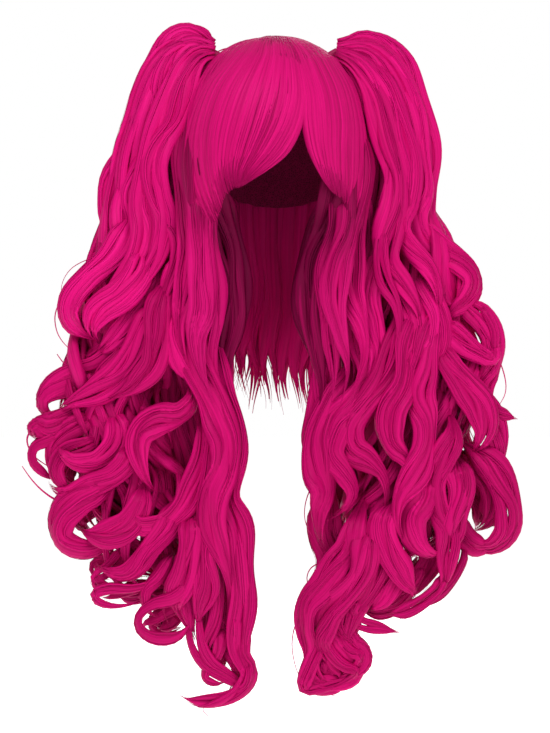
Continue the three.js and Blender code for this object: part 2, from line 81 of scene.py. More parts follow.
# Pigtail sections from the clip to the tips, as in the part's source: the middle's way out, its
# drop and its way forward, and the bundle's half width and half depth, as shares of the sizes above.
LEFT_PIGTAIL = [
    (0, 0, 0, 0.13, 0.44),
    (0.12, -0.006, 0.02, 0.24, 0.49),
    (0.29, 0.003, 0.05, 0.33, 0.54),
    (0.44, 0.03, 0.1, 0.38, 0.58),
    (0.57, 0.069, 0.16, 0.39, 0.6),
    (0.67, 0.12, 0.24, 0.39, 0.62),
    (0.73, 0.18, 0.34, 0.38, 0.64),
    (0.74, 0.244, 0.46, 0.38, 0.7),
    (0.86, 0.312, 0.58, 0.56, 0.8),
    (0.91, 0.403, 0.7, 0.74, 0.9),
    (0.92, 0.502, 0.8, 0.89, 1),
    (0.91, 0.608, 0.88, 0.98, 1),
    (0.81, 0.707, 0.95, 1.08, 0.96),
    (0.53, 0.783, 1, 0.88, 0.84),
    (0.19, 0.849, 1, 0.66, 0.64),
    (-0.05, 0.913, 1, 0.44, 0.42),
    (-0.23, 0.97, 1, 0.21, 0.22),
]
RIGHT_PIGTAIL = [
    (0, 0, 0, 0.13, 0.44),
    (0.11, -0.007, 0.02, 0.24, 0.49),
    (0.27, 0, 0.05, 0.33, 0.54),
    (0.42, 0.024, 0.1, 0.36, 0.58),
    (0.55, 0.063, 0.16, 0.35, 0.6),
    (0.65, 0.107, 0.24, 0.34, 0.62),
    (0.77, 0.168, 0.34, 0.4, 0.64),
    (0.8, 0.244, 0.46, 0.47, 0.7),
    (0.845, 0.323, 0.58, 0.62, 0.8),
    (0.925, 0.411, 0.7, 0.73, 0.9),
    (1, 0.51, 0.8, 0.82, 1),
    (1, 0.609, 0.88, 0.85, 1),
    (0.8, 0.707, 0.95, 1, 0.96),
    (0.5, 0.783, 1, 0.9, 0.84),
    (0.2, 0.86, 1, 0.68, 0.64),
    (-0.08, 0.931, 1, 0.38, 0.42),
    (0.06, 0.995, 1, 0.22, 0.22),
]

# Guides of the fringe's two parts, as turns x, y, x, y and so on in the picture's pixels. The guides by
# the parting make the fringe's edge.
FRINGE_LOW_FORWARD = 76.0
FRINGE_SIDE_AZIMUTH = 40.0
FRINGE_POINTS = 36
FRINGE_RIGHT = [
    (236, 52, 208, 84, 191, 126, 187, 162, 192, 192, 202, 216, 210, 234),
    (244, 54, 219, 88, 206, 128, 204, 162, 208, 186, 214, 204, 219, 218),
    (253, 55, 232, 90, 220, 128, 217, 158, 219, 178, 222, 190, 225, 199),
    (263, 57, 247, 92, 236, 128, 230, 156, 230, 174, 232, 184, 234, 190),
    (272, 58, 263, 94, 254, 126, 245, 152, 239, 170, 238, 182, 239, 189),
    (283, 60, 281, 94, 273, 124, 260, 150, 248, 168, 242, 180, 240, 188),
    (293, 62, 296, 94, 290, 122, 276, 148, 260, 166, 248, 178, 242, 187),
    (300, 66, 305, 96, 302, 122, 289, 150, 270, 168, 254, 179, 243, 186),
]
FRINGE_LEFT = [
    (299, 66, 304, 96, 304, 122, 308, 145, 315, 164, 323, 180, 332, 192),
    (307, 64, 316, 94, 319, 122, 321, 146, 325, 166, 329, 181, 335, 195),
    (317, 60, 330, 90, 335, 120, 335, 148, 336, 168, 338, 183, 340, 199),
    (327, 58, 343, 88, 350, 120, 350, 150, 350, 174, 349, 193, 347, 209),
    (333, 58, 353, 88, 362, 122, 365, 154, 362, 184, 357, 208, 352, 226),
]

# Locks of the pigtails that show in the photograph: half the width in pixels, the places in depth at
# the start and the end, 1 at the bundle's front and 0 in its middle, and the turns in pixels. A last
# value is added to the shade: painted light where it is above 0, painted shade where it is below. Locks
# that start below 0 go in the core, with the darker copy of the hair material, as painted shade.
LOCKS_RIGHT = [
    # outer stream over the top and the first large wave
    (13, 0.2, 0, (213, 44, 189, 30, 167, 41, 156, 71, 151, 100, 147, 130, 131, 158, 113, 182, 113, 208,
     120, 232, 107, 256, 85, 276, 65, 296, 63, 318, 82, 338, 104, 350), 0.35),
    (7, 0.1, 0.1, (213, 46, 201, 36, 188, 33, 174, 41, 164, 58), 0.2),
    (10, 0, 0, (212, 50, 192, 40, 175, 50, 164, 76, 158, 104, 152, 134), 0.2),
    (8, 0.6, 0.6, (190, 104, 180, 130, 172, 156, 169, 180, 173, 206, 179, 240, 182, 276), -0.6),
    (11, 0.9, 0.7, (134, 204, 127, 232, 112, 256, 90, 276, 74, 296, 70, 316, 84, 334, 108, 344), 0.2),
    (12, 1.1, 0.9, (146, 240, 140, 268, 122, 292, 100, 312, 92, 332, 104, 348), 0.15),
    (13, 0.7, 0.4, (214, 47, 192, 41, 172, 56, 160, 82, 153, 115, 148, 145, 139, 172, 128, 198, 128, 225,
     122, 250, 102, 282, 84, 306, 84, 326, 104, 336), 0.25),
    (11, 0.6, 0.6, (160, 258, 150, 290, 132, 318, 112, 340, 96, 354, 88, 362), 0.1),
    (12, 1, 0.9, (215, 51, 198, 50, 182, 66, 172, 92, 163, 124, 155, 150, 147, 176, 143, 202, 148, 228,
     142, 256, 122, 286, 100, 312, 92, 330, 108, 340), -0.13),
    (11, 1.1, 1, (215, 55, 203, 58, 192, 74, 184, 98, 175, 124, 160, 146, 154, 168, 158, 196, 166, 222,
     160, 252, 144, 280, 124, 306, 112, 326, 120, 340), -0.1),
    (8, 0.9, 1.1, (216, 58, 206, 67, 191, 88, 178, 112, 164, 136, 156, 160, 157, 188, 168, 216, 178, 240,
     175, 268, 166, 292, 158, 322, 156, 350, 166, 374), -0.2),
    # second wave to the left
    (13, 0.5, 0.1, (150, 292, 138, 322, 121, 349, 99, 369, 70, 382, 50, 394, 44, 406, 58, 420, 82, 424)),
    (12, 1, 0.6, (162, 284, 152, 318, 138, 350, 118, 374, 94, 390, 70, 402, 60, 412, 74, 420)),
    (11, 1.1, 1, (172, 270, 160, 306, 156, 342, 150, 368, 134, 388, 112, 398, 92, 404), -0.25),
    # inner mass beside the face
    (13, 0.9, 1, (192, 236, 184, 268, 176, 300, 176, 334, 186, 364, 198, 388, 204, 408)),
    (13, 1, 1.1, (202, 240, 204, 280, 199, 316, 194, 348, 202, 382, 216, 412, 228, 440, 224, 470, 214, 492,
     212, 520, 222, 550, 230, 580, 230, 610, 222, 640)),
    (11, 0.8, 1, (214, 270, 214, 320, 212, 358, 218, 392, 232, 424, 236, 452, 228, 480, 226, 502, 238, 528,
     243, 560, 243, 596, 240, 626, 240, 652, 248, 672, 238, 690, 216, 702, 190, 702, 180, 695)),
    (8, 0.9, 1, (232, 590, 240, 624, 242, 652, 249, 672, 240, 691, 221, 703, 199, 707, 182, 699)),
    (7, 0.9, 1, (246, 652, 252, 672, 246, 688, 226, 697, 202, 700, 184, 698, 174, 688)),
    (8, 0.7, 0.9, (200, 596, 194, 622, 198, 646, 210, 664, 228, 676, 238, 686, 226, 698, 206, 704)),
    (9, 0.6, 0.8, (188, 536, 184, 570, 184, 600, 190, 626, 198, 646)),
    (6, 0.3, 0.3, (192, 602, 174, 610, 158, 618, 144, 624, 150, 632)),
    (5, 0.3, 0.3, (144, 584, 126, 592, 108, 598, 100, 596)),
    (6, 0.2, 0.2, (180, 612, 170, 624, 154, 630)),
    (6, 0.7, 0.9, (222, 620, 218, 650, 206, 668, 204, 680, 220, 684, 234, 676)),
    (8, 0.6, 0.9, (196, 470, 190, 500, 196, 530, 208, 560, 218, 590, 216, 620, 208, 646, 206, 668,
     220, 680)),
    # curls of the middle
    (11, 0.9, 1, (186, 376, 192, 396, 180, 412, 156, 420, 140, 436, 140, 462, 150, 486, 168, 500)),
    (10, 0.6, 1, (196, 396, 206, 426, 204, 456, 196, 484, 184, 508, 162, 526, 138, 528, 126, 512, 136, 494,
     158, 490)),
    (9, 0.3, 0.5, (116, 392, 92, 404, 70, 416, 50, 426, 34, 424, 30, 434, 44, 444)),
    (8, 0.5, 0.4, (104, 410, 84, 422, 63, 434, 52, 448, 52, 466, 62, 482, 76, 490)),
    (8, 0.7, 0.6, (106, 436, 84, 446, 64, 456, 56, 472, 64, 488, 84, 494)),
    (6, 0.4, 0.4, (76, 428, 54, 438, 36, 448, 34, 462, 46, 476, 62, 484)),
    (10, 0.7, 0.8, (108, 404, 118, 428, 114, 448, 96, 462, 72, 462, 56, 448, 60, 436)),
    (10, 0.9, 0.6, (128, 436, 130, 458, 116, 474, 92, 484, 68, 493, 51, 487, 48, 474)),
    # the low curls to the left
    (12, 0.8, 0.5, (124, 470, 102, 488, 78, 500, 62, 516, 60, 536, 76, 548, 98, 548, 114, 534, 116, 514)),
    (11, 1, 0.8, (146, 480, 140, 504, 128, 524, 108, 534, 86, 532, 74, 520)),
    (10, 0.8, 0.9, (176, 496, 168, 524, 150, 548, 134, 568, 118, 574, 100, 568, 94, 556)),
    (11, 0.9, 1, (190, 506, 190, 540, 184, 572, 176, 600, 180, 622)),
    (6, 1, 1, (196, 560, 186, 588, 172, 600, 152, 606, 138, 616, 138, 630, 154, 640, 176, 638, 190, 624,
     194, 606)),
    (6, 0.7, 0.8, (176, 548, 160, 574, 146, 592, 150, 612, 166, 618)),
    (5, 0.8, 0.9, (172, 560, 156, 582, 134, 588, 110, 587, 95, 593, 98, 602, 116, 606, 138, 602, 152, 592)),
    (7, 0.5, 0.6, (130, 540, 112, 566, 96, 580, 112, 590, 134, 588)),
    (8, 0.2, 0.3, (150, 544, 128, 556, 106, 562, 94, 564, 98, 576, 116, 580)),
    (9, -0.1, -0.1, (184, 582, 164, 592, 144, 590, 124, 594, 107, 592), 0.3),
    (8, -0.1, -0.1, (192, 598, 172, 610, 156, 622, 168, 631, 184, 626), 0.3),
    (11, 0.9, 1, (206, 516, 204, 552, 206, 586, 200, 614, 196, 636)),
    # the mass behind them, down to the tips
    (12, -0.7, -0.7, (200, 70, 187, 100, 178, 130, 172, 160, 170, 200, 174, 240, 178, 280)),
    (12, -0.4, -0.5, (202, 66, 190, 96, 180, 128, 174, 160, 171, 192, 174, 224, 182, 256, 190, 290,
     196, 330)),
    (14, -0.1, -0.2, (196, 240, 200, 300, 192, 360, 192, 410, 196, 450, 204, 500, 210, 560), 0.4),
    (14, -0.2, -0.2, (180, 260, 176, 320, 170, 370, 174, 420, 180, 470, 184, 520, 182, 570), 0.4),
    (9, -0.2, -0.2, (88, 450, 72, 462, 66, 478, 80, 490), 0.3),
    (9, -0.2, -0.2, (108, 498, 90, 508, 80, 522, 94, 532), 0.3),
    (14, 0.2, 0.5, (216, 470, 216, 520, 228, 560, 232, 600, 228, 640, 238, 668, 230, 692, 206, 706)),
    (14, 0.4, 0.4, (204, 520, 208, 560, 216, 600, 216, 640, 222, 668, 214, 690)),
    (13, 0, 0.2, (150, 440, 158, 490, 160, 540, 166, 580, 176, 612), 0.3),
]
LOCKS_LEFT = [
    # outer stream over the top and the first large wave
    (13, 0.2, 0, (338, 44, 366, 39, 387, 48, 403, 71, 413, 98, 420, 130, 425, 162, 423, 194, 420, 218,
     430, 236, 448, 252, 466, 268, 468, 288, 450, 306, 438, 326), 0.2),
    (12, 0.4, 0.2, (340, 44, 364, 42, 382, 54, 397, 78, 406, 104, 412, 134), 0.1),
    (13, 0.7, 0.4, (337, 47, 364, 47, 384, 60, 400, 86, 409, 120, 416, 150, 418, 184, 412, 214, 422, 240,
     442, 260, 456, 280, 454, 302, 440, 318), 0.1),
    (12, 1, 0.9, (336, 51, 358, 56, 376, 74, 390, 104, 400, 136, 406, 168, 404, 200, 400, 228, 412, 252,
     428, 272, 438, 296, 436, 324, 430, 350)),
    (11, 1.1, 1, (336, 54, 353, 64, 368, 86, 380, 116, 390, 146, 396, 176, 394, 206, 388, 236, 388, 262,
     404, 286, 418, 310, 420, 336, 410, 360), -0.25),
    (8, 0.9, 1.1, (336, 57, 351, 73, 366, 98, 379, 126, 389, 154, 392, 186, 386, 216, 380, 250, 384, 280,
     396, 304, 399, 334, 388, 362, 374, 390), -0.3),
    (11, 0.5, 0.4, (408, 208, 420, 230, 442, 248, 462, 262, 472, 280, 466, 300, 448, 318, 440, 342)),
    (10, 0.6, 1.1, (392, 262, 404, 290, 414, 316, 412, 342, 400, 366, 392, 390)),
    (10, 0.6, 1, (412, 264, 430, 292, 440, 318, 438, 346, 426, 370, 422, 396), 0.1),
    (7, 0.5, 0.4, (470, 296, 482, 314, 490, 336, 490, 360, 480, 380, 478, 400)),
    (10, 0.7, 0.9, (382, 238, 373, 270, 367, 300, 372, 330, 377, 356, 368, 384, 356, 404), 0.15),
    (9, 0.5, 0.9, (364, 284, 356, 314, 358, 344, 367, 372, 364, 400, 350, 424), 0.15),
    (8, 0.6, 0.6, (361, 104, 371, 130, 378, 156, 380, 180, 377, 206, 372, 240, 370, 276), -0.6),
    # second wave to the right
    (10, 0.5, 0.2, (448, 296, 464, 304, 482, 318, 493, 338, 494, 362, 484, 384, 486, 402, 500, 414,
     520, 419)),
    (9, 0.8, 0.5, (436, 318, 452, 334, 474, 350, 492, 360, 496, 350, 484, 334)),
    (12, 1, 0.5, (434, 336, 448, 362, 466, 386, 480, 408, 484, 432, 474, 452, 458, 460)),
    (11, 0.6, 0.3, (448, 372, 474, 396, 492, 422, 499, 448, 498, 470, 486, 482), 0.15),
    # the middle's long locks
    (12, 0.9, 1.1, (434, 284, 434, 312, 428, 340, 424, 370, 420, 396, 426, 424, 424, 452, 412, 480, 400, 502,
     398, 526, 410, 550, 430, 564)),
    (11, 0.9, 1, (410, 290, 416, 320, 412, 348, 404, 380, 392, 412, 394, 440, 408, 462, 410, 486,
     396, 508)),
    (11, 0.8, 1, (392, 290, 400, 318, 396, 346, 384, 376, 364, 404, 350, 426, 352, 448, 368, 462, 384, 480,
     386, 504, 376, 528), -0.12),
    (13, 0.7, 1, (376, 316, 382, 344, 374, 372, 356, 402, 336, 424, 330, 452, 344, 474, 352, 494, 340, 512,
     314, 526)),
    (12, 0.6, 1, (354, 350, 348, 374, 332, 402, 318, 437, 319, 467, 325, 492, 320, 516, 321, 540,
     334, 562)),
    (9, 0.3, 0.6, (338, 336, 328, 366, 318, 396, 314, 424, 314, 452, 320, 478, 324, 502)),
    (8, 0.4, 0.5, (326, 350, 320, 376, 322, 400, 330, 424)),
    # curls to the right
    (10, 0.9, 0.8, (446, 404, 454, 432, 444, 458, 434, 484, 438, 510, 448, 532, 446, 560, 444, 584, 432, 594,
     420, 588)),
    (12, 0.6, 0.2, (460, 440, 484, 460, 503, 484, 511, 508, 506, 533, 489, 547, 468, 543, 458, 526)),
    (9, 0.3, 0.2, (454, 448, 474, 466, 488, 486, 492, 508, 484, 526, 466, 532)),
    (8, 0.4, 0.5, (462, 536, 458, 560, 448, 582, 430, 598, 408, 606, 392, 602)),
    (7, 0.7, 0.8, (448, 566, 438, 590, 420, 604, 398, 612, 378, 616)),
    (9, 0.2, 0.3, (440, 536, 430, 562, 414, 586, 392, 602)),
    (9, 0.3, 0.4, (418, 556, 410, 580, 394, 600, 374, 612)),
    (8, 0.3, 0.3, (416, 590, 396, 604, 374, 610, 352, 606)),
    (10, 0.1, 0.1, (478, 470, 492, 492, 494, 514, 484, 532), 0.25),
    (9, 0.3, 0.3, (450, 516, 464, 536, 482, 546, 500, 540)),
    (5, 0.5, 0.4, (486, 396, 496, 410, 508, 416, 522, 420)),
    (11, 0.9, 0.7, (454, 452, 462, 482, 456, 512, 450, 540, 436, 560)),
    (10, 1, 0.9, (420, 466, 424, 494, 414, 520, 420, 546, 436, 556, 448, 544)),
    (11, 0.9, 1, (396, 496, 384, 524, 390, 554, 404, 578, 416, 594, 404, 602)),
    # the tail and its curls
    (11, 0.8, 1, (366, 492, 356, 522, 348, 548, 334, 566, 320, 586, 307, 606, 303, 630, 306, 652, 304, 674,
     303, 692), -0.1),
    (11, 1, 1, (376, 512, 366, 542, 360, 572, 346, 596, 328, 616, 317, 640, 327, 660, 339, 670,
     350, 667), -0.1),
    (10, 0.8, 0.9, (384, 540, 376, 570, 366, 594, 350, 612, 344, 634, 350, 650, 360, 655, 364, 650), -0.1),
    (7, 0.9, 1, (362, 588, 350, 610, 360, 624, 382, 629, 408, 634)),
    (9, 0.8, 0.9, (338, 604, 342, 628, 352, 643, 363, 653, 361, 665, 346, 675, 326, 684)),
    (8, 0.9, 1, (328, 618, 330, 642, 342, 658, 358, 668, 354, 680, 334, 688, 312, 690)),
    (7, 0.9, 1, (334, 610, 322, 640, 310, 664, 302, 684, 306, 692, 326, 686, 344, 680, 352, 668,
     344, 658)),
    (8, 0.6, 0.8, (340, 600, 332, 640, 336, 662, 342, 676, 330, 688)),
    (13, 0.4, 0.5, (326, 610, 318, 640, 320, 664, 330, 678, 346, 682)),
    (12, 0.3, 0.4, (340, 622, 336, 646, 336, 666, 326, 682, 312, 692)),
    (9, 0.6, 0.8, (404, 560, 392, 584, 380, 602, 362, 612)),
    (8, 0.7, 0.9, (346, 560, 338, 590, 330, 620, 318, 644, 312, 664, 320, 680, 334, 684, 348, 680)),
    # the mass behind them, down to the tips
    (12, -0.7, -0.7, (348, 70, 361, 100, 370, 130, 375, 160, 376, 200, 372, 240, 370, 280)),
    (12, -0.4, -0.5, (344, 66, 360, 96, 370, 128, 378, 160, 380, 192, 377, 224, 376, 256, 380, 290,
     384, 330)),
    (14, -0.3, -0.4, (352, 240, 350, 300, 358, 360, 348, 410, 336, 450, 344, 500, 338, 560)),
    (14, -0.4, -0.4, (372, 260, 376, 320, 380, 370, 366, 420, 356, 470, 362, 520, 366, 570)),
    (14, 0.2, 0.4, (334, 480, 326, 524, 332, 560, 328, 590, 316, 626, 316, 656, 310, 682)),
    (11, -0.2, -0.2, (462, 474, 476, 494, 483, 514, 475, 532), 0.5),
    (9, 0.5, 0.6, (306, 664, 311, 682, 325, 687, 341, 681, 351, 668)),
    (14, 0.4, 0.4, (356, 540, 350, 590, 340, 630, 334, 660, 326, 678)),
    (13, 0, 0.2, (396, 440, 392, 490, 388, 540, 380, 580, 366, 610)),
]
# Locks beside the face, in the same way, but the places in depth are millimetres forward of the middle.
SIDE_RIGHT = [
    (10, 44, 60, (206, 92, 208, 120, 210, 150, 215, 190, 222, 228, 231, 262, 234, 296, 231, 330, 226, 362,
     226, 390, 234, 416, 238, 440)),
    (11, 66, 74, (202, 84, 199, 115, 199, 150, 202, 190, 204, 230, 209, 270, 212, 310, 211, 345, 215, 376,
     226, 402, 234, 426)),
    (11, 70, 84, (198, 88, 193, 118, 193, 150, 197, 190, 199, 230, 203, 268, 203, 306, 198, 340, 202, 372,
     212, 400, 222, 424)),
    (10, 50, 74, (193, 96, 187, 125, 186, 152, 187, 186, 188, 220, 190, 250, 186, 290, 180, 326, 184, 356,
     194, 380)),
    (10, 34, 50, (182, 160, 180, 190, 182, 220, 190, 260, 196, 300, 190, 340, 194, 380, 206, 410)),
    (10, 30, 36, (212, 170, 224, 210, 234, 250, 238, 290, 236, 326, 230, 350, 224, 380)),
    (12, 8, 24, (184, 180, 186, 210, 190, 250, 194, 290, 190, 330, 188, 370, 196, 410, 200, 440, 196, 470)),
    (12, 22, 40, (182, 180, 180, 215, 182, 260, 186, 300, 180, 345, 184, 390, 192, 430)),
]
SIDE_LEFT = [
    (10, 44, 60, (340, 92, 340, 120, 340, 150, 334, 190, 324, 226, 312, 258, 309, 292, 310, 330, 316, 362,
     322, 388, 318, 412, 312, 440)),
    (11, 66, 74, (344, 84, 348, 115, 349, 150, 344, 190, 338, 228, 330, 262, 327, 300, 328, 338, 332, 368,
     332, 396, 324, 424)),
    (11, 70, 84, (348, 88, 355, 118, 357, 150, 354, 190, 348, 228, 338, 262, 334, 300, 340, 336, 348, 366,
     344, 394, 334, 420)),
    (10, 50, 74, (350, 96, 357, 125, 359, 152, 358, 184, 357, 216, 352, 250, 350, 290, 360, 326, 364, 354,
     356, 384, 346, 410)),
    (10, 34, 50, (360, 160, 361, 190, 363, 216, 360, 254, 350, 290, 350, 330, 356, 366, 348, 400)),
    (10, 30, 36, (338, 170, 328, 210, 314, 250, 306, 284, 306, 320, 312, 356, 320, 386)),
    (12, 8, 24, (356, 180, 356, 210, 356, 250, 356, 290, 360, 330, 362, 370, 354, 410, 350, 440, 354, 470)),
    (12, 22, 40, (358, 180, 360, 215, 362, 260, 362, 300, 370, 345, 366, 390, 358, 430)),
]
# The painted light and shade of each of these locks, and the rows that take the darker copy of the hair
# material, as painted shade beside the face and under the fringe.
SIDE_RIGHT_SHADES = (-0.28, 0.65, 0.75, 0.3, 0.35, -0.3, 0.4, 0.4)
SIDE_LEFT_SHADES = (-0.05, 0.65, 0.72, 0.34, 0.6, -0.15, 0.4, 0.4)
SIDE_DARK_ROWS = (0, 1, 2, 4, 5, 6, 7)
# Loose hairs near the outline: the thickness and the turns.
WISPS_RIGHT = [
    (0.9, (104, 352, 88, 362, 74, 367, 64, 363, 57, 354)),
    (0.5, (66, 294, 57, 308, 55, 322, 60, 338, 74, 352, 92, 356)),
    (0.9, (76, 498, 58, 500, 44, 492, 32, 480, 22, 466)),
    (0.8, (48, 426, 34, 428, 27, 440, 34, 456, 54, 470)),
    (0.4, (114, 254, 92, 258, 72, 268, 62, 284, 62, 304)),
    (0.5, (234, 692, 212, 698, 203, 709, 208, 716)),
    (0.5, (210, 56, 224, 49, 240, 47, 256, 44)),
]
WISPS_LEFT = [
    (0.6, (486, 340, 498, 358, 505, 378, 505, 394, 496, 410)),
    (0.5, (322, 474, 311, 488, 305, 506, 306, 524, 316, 542)),
    (0.6, (340, 562, 324, 562, 311, 568, 307, 580, 314, 592, 324, 594)),
    (0.5, (304, 608, 295, 626, 292, 646, 296, 668, 304, 686)),
    (0.5, (304, 674, 314, 690, 336, 696)),
    (0.5, (444, 548, 455, 566, 450, 584, 438, 594)),
]

# Along a lock's path, before its own points are read from it.
PATH_POINTS = 160
POINT_SPACING = 7.6
# A lock whose path starts below this row of pixels comes out of the mass, and others start at the clip.
FREE_BELOW = 100
LOCK_SIDES = 14
LOCK_THICKNESS = 4.6
LOCK_RIDGES = ((3, 0.05), (5, 0.06), (7, 0.06))
RINGLETS = 8
# Rings of background locks in a pigtail: the count, the reach from its middle and the first one's turn.
BACKGROUND_RINGS = ((22, 0.9, 0.0), (11, 0.58, 0.4), (6, 0.2, 0.2))
# Painted shade falls between these rows of pixels, by where a lock ends: the lower, the darker.
LOW_SHADE = (240, 560)
UNDER_FRINGE_SHADE = 0.65
CROWN_BODIES = 66
CROWN_STRANDS = ((175, -0.7), (165, -0.1))
CROWN_PAST_RIM = 40
CROWN_FRONT_RISE = 85
DOME_POINTS = 29
# Back locks: the counts in the outer and inner row, and the first azimuth and the span in degrees.
BACK_COUNTS = (22, 18)
BACK_FROM, BACK_SPAN = 98, 164
BACK_POINTS = 120
# The lowest tint, where 0 to 1 is the usual range.
DARKEST = -0.4
# Noise is read at a different place for each strip, up to this far off.
STREAK_PLACES = 400
ANY_PHASE = 6.3
FRONT = np.array([0.0, -1.0, 0.0])
HEAD_MIDDLE = np.array([0.0, 0.0, -70.0])


# Small maths on arrays of points


def pixels(turns):
    """Turns that are given as x, y, x, y and so on, one to a row."""
    return np.array(turns, float).reshape(-1, 2)


def unit(v):
    return v / np.maximum(np.linalg.norm(v, axis=-1, keepdims=True), 1e-9)


def smoothstep(low, high, x):
    t = np.clip((np.asarray(x, float) - low) / (high - low), 0, 1)
    return t * t * (3 - 2 * t)


def spline(rows, u):
    """Smooth values through evenly spaced rows, read at u from 0 to 1."""
    rows = np.asarray(rows, float)
    n = len(rows) - 1
    x = np.clip(np.asarray(u, float), 0, 1) * n
    i = np.minimum(x.astype(int), n - 1)
    t = (x - i)[..., None]
    a = rows[np.maximum(i - 1, 0)]
    b = rows[i]
    c = rows[i + 1]
    d = rows[np.minimum(i + 2, n)]
    return b + 0.5 * t * (c - a + t * (2 * a - 5 * b + 4 * c - d + t * (3 * (b - c) + d - a)))


def even(rows, count, dims):
    """Rows evenly spaced along the smooth curve that rows draw in their first dims columns."""
    fine = spline(rows, np.linspace(0, 1, 40 * len(rows)))
    step = np.linalg.norm(np.diff(fine[:, :dims], axis=0), axis=1)
    run = np.concatenate([[0], np.cumsum(step)])
    at = np.linspace(0, run[-1], count)
    return np.stack([np.interp(at, run, fine[:, k]) for k in range(fine.shape[1])], axis=1)


def smooth(rows, reach):
    """Rows averaged with their neighbours, with both ends held."""
    kernel = np.hanning(2 * reach + 1)
    kernel /= kernel.sum()
    padded = np.pad(rows, ((reach, reach), (0, 0)), mode="reflect", reflect_type="odd")
    return np.stack([np.convolve(padded[:, k], kernel, "valid") for k in range(rows.shape[1])], axis=1)


def frames(path, outward):
    """Directions across and outward at each point of each path."""
    along = unit(np.gradient(path, axis=-2))
    outward = unit(outward - along * np.sum(outward * along, axis=-1, keepdims=True))
    return np.cross(along, outward), outward


# Meshes made of many closed strips

STRAND = [(-1.0, -0.04), (0.0, 0.13), (1.0, -0.04)]


def ellipse(sides):
    turns = np.arange(sides) * 2 * np.pi / sides
    return [(-math.cos(a), math.sin(a)) for a in turns]


def lobed(points):
    """An oval section with low ridges that wander along the lock."""
    turns = np.arange(LOCK_SIDES) * 2 * np.pi / LOCK_SIDES
    s = np.linspace(0, 1, points)[:, None]
    size = np.ones((points, LOCK_SIDES))
    for ridges, height in LOCK_RIDGES:
        size += height * np.sin(ridges * turns + rng.random() * ANY_PHASE + rng.uniform(-5, 5) * s)
    return np.stack([-np.cos(turns) * size, np.sin(turns) * size], axis=-1)


class Hair:
    """Collects closed strips, and makes them into one mesh object."""

    def __init__(self):
        self.places, self.flow, self.quads, self.soft, self.caps = [], [], [], [], []
        self.count = 0

    def add(self, path, outward, width, thick, section, tint):
        """path and outward are (strips, points, 3), width and thick are half sizes (strips, points).

        tint has one value for each strip, or one for each of its points.
        """
        strips, points, sides = len(path), path.shape[1], np.shape(section)[-2]
        section = np.broadcast_to(section, (strips, points, sides, 2))
        across, out = frames(path, outward)
        beside = width[:, :, None] * section[..., 0]
        place = (
            path[:, :, None, :]
            + across[:, :, None, :] * beside[..., None]
            + out[:, :, None, :] * (thick[:, :, None] * section[..., 1])[..., None]
        )
        run = np.zeros((strips, points))
        run[:, 1:] = np.cumsum(np.linalg.norm(np.diff(path, axis=1), axis=2), axis=1)
        flow = np.zeros((strips, points, sides, 3))
        flow[..., 0] = rng.random(strips)[:, None, None] * STREAK_PLACES + beside
        flow[..., 1] = run[:, :, None]
        shade = np.asarray(tint, float)
        flow[..., 2] = (shade[:, None] if shade.ndim == 1 else shade)[:, :, None]
        base = self.count + np.arange(strips)[:, None, None] * points * sides
        ring = np.arange(points - 1)[None, :, None] * sides
        side = np.arange(sides)[None, None, :]
        a = base + ring + side
        b = base + ring + (side + 1) % sides
        first = base[:, 0, 0][:, None] + np.arange(sides)[::-1]
        last = base[:, 0, 0][:, None] + (points - 1) * sides + np.arange(sides)
        self.places.append(place.reshape(-1, 3))
        self.flow.append(flow.reshape(-1, 3))
        self.quads.append(np.stack([a, b, b + sides, a + sides], axis=-1).reshape(-1, 4))
        soft = np.ones((strips, points - 1, sides), bool)
        soft[..., -1] = sides > 3
        self.soft.append(soft.reshape(-1))
        self.caps += [first, last]
        self.count += strips * points * sides

    def make(self, name, material, node):
        """Makes the object, which stands for a node and rides on the wig."""
        faces = [*self.quads, *self.caps]
        loops = np.concatenate([f.reshape(-1) for f in faces]).astype(np.int32)
        sizes = np.concatenate([np.full(len(f), f.shape[1]) for f in faces])
        starts = np.concatenate([[0], np.cumsum(sizes)[:-1]]).astype(np.int32)
        places = (np.concatenate(self.places) * MM).astype(np.float32)
        mesh = bpy.data.meshes.new(name)
        mesh.vertices.add(len(places))
        mesh.vertices.foreach_set("co", places.reshape(-1))
        mesh.loops.add(len(loops))
        mesh.loops.foreach_set("vertex_index", loops)
        mesh.polygons.add(len(sizes))
        mesh.polygons.foreach_set("loop_start", starts)
        soft = np.concatenate([*self.soft, np.zeros(sum(len(c) for c in self.caps), bool)])
        mesh.polygons.foreach_set("use_smooth", soft)
        flow = mesh.attributes.new("flow", "FLOAT_VECTOR", "POINT")
        flow.data.foreach_set("vector", np.concatenate(self.flow).astype(np.float32).reshape(-1))
        mesh.update(calc_edges=True)
        mesh.validate()
        piece = bpy.data.objects.new(name, mesh)
        bpy.context.scene.collection.objects.link(piece)
        mesh.materials.append(material)
        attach(piece, "root")
        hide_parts(node)


def read_rows(s, rows):
    """Rows read at s, where s from 0 to 1 runs along them."""
    at = np.linspace(0, 1, len(rows))
    if rows.ndim == 1:
        return np.interp(s, at, rows)
    return np.stack([np.interp(s, at, rows[:, k]) for k in range(rows.shape[1])], axis=-1)


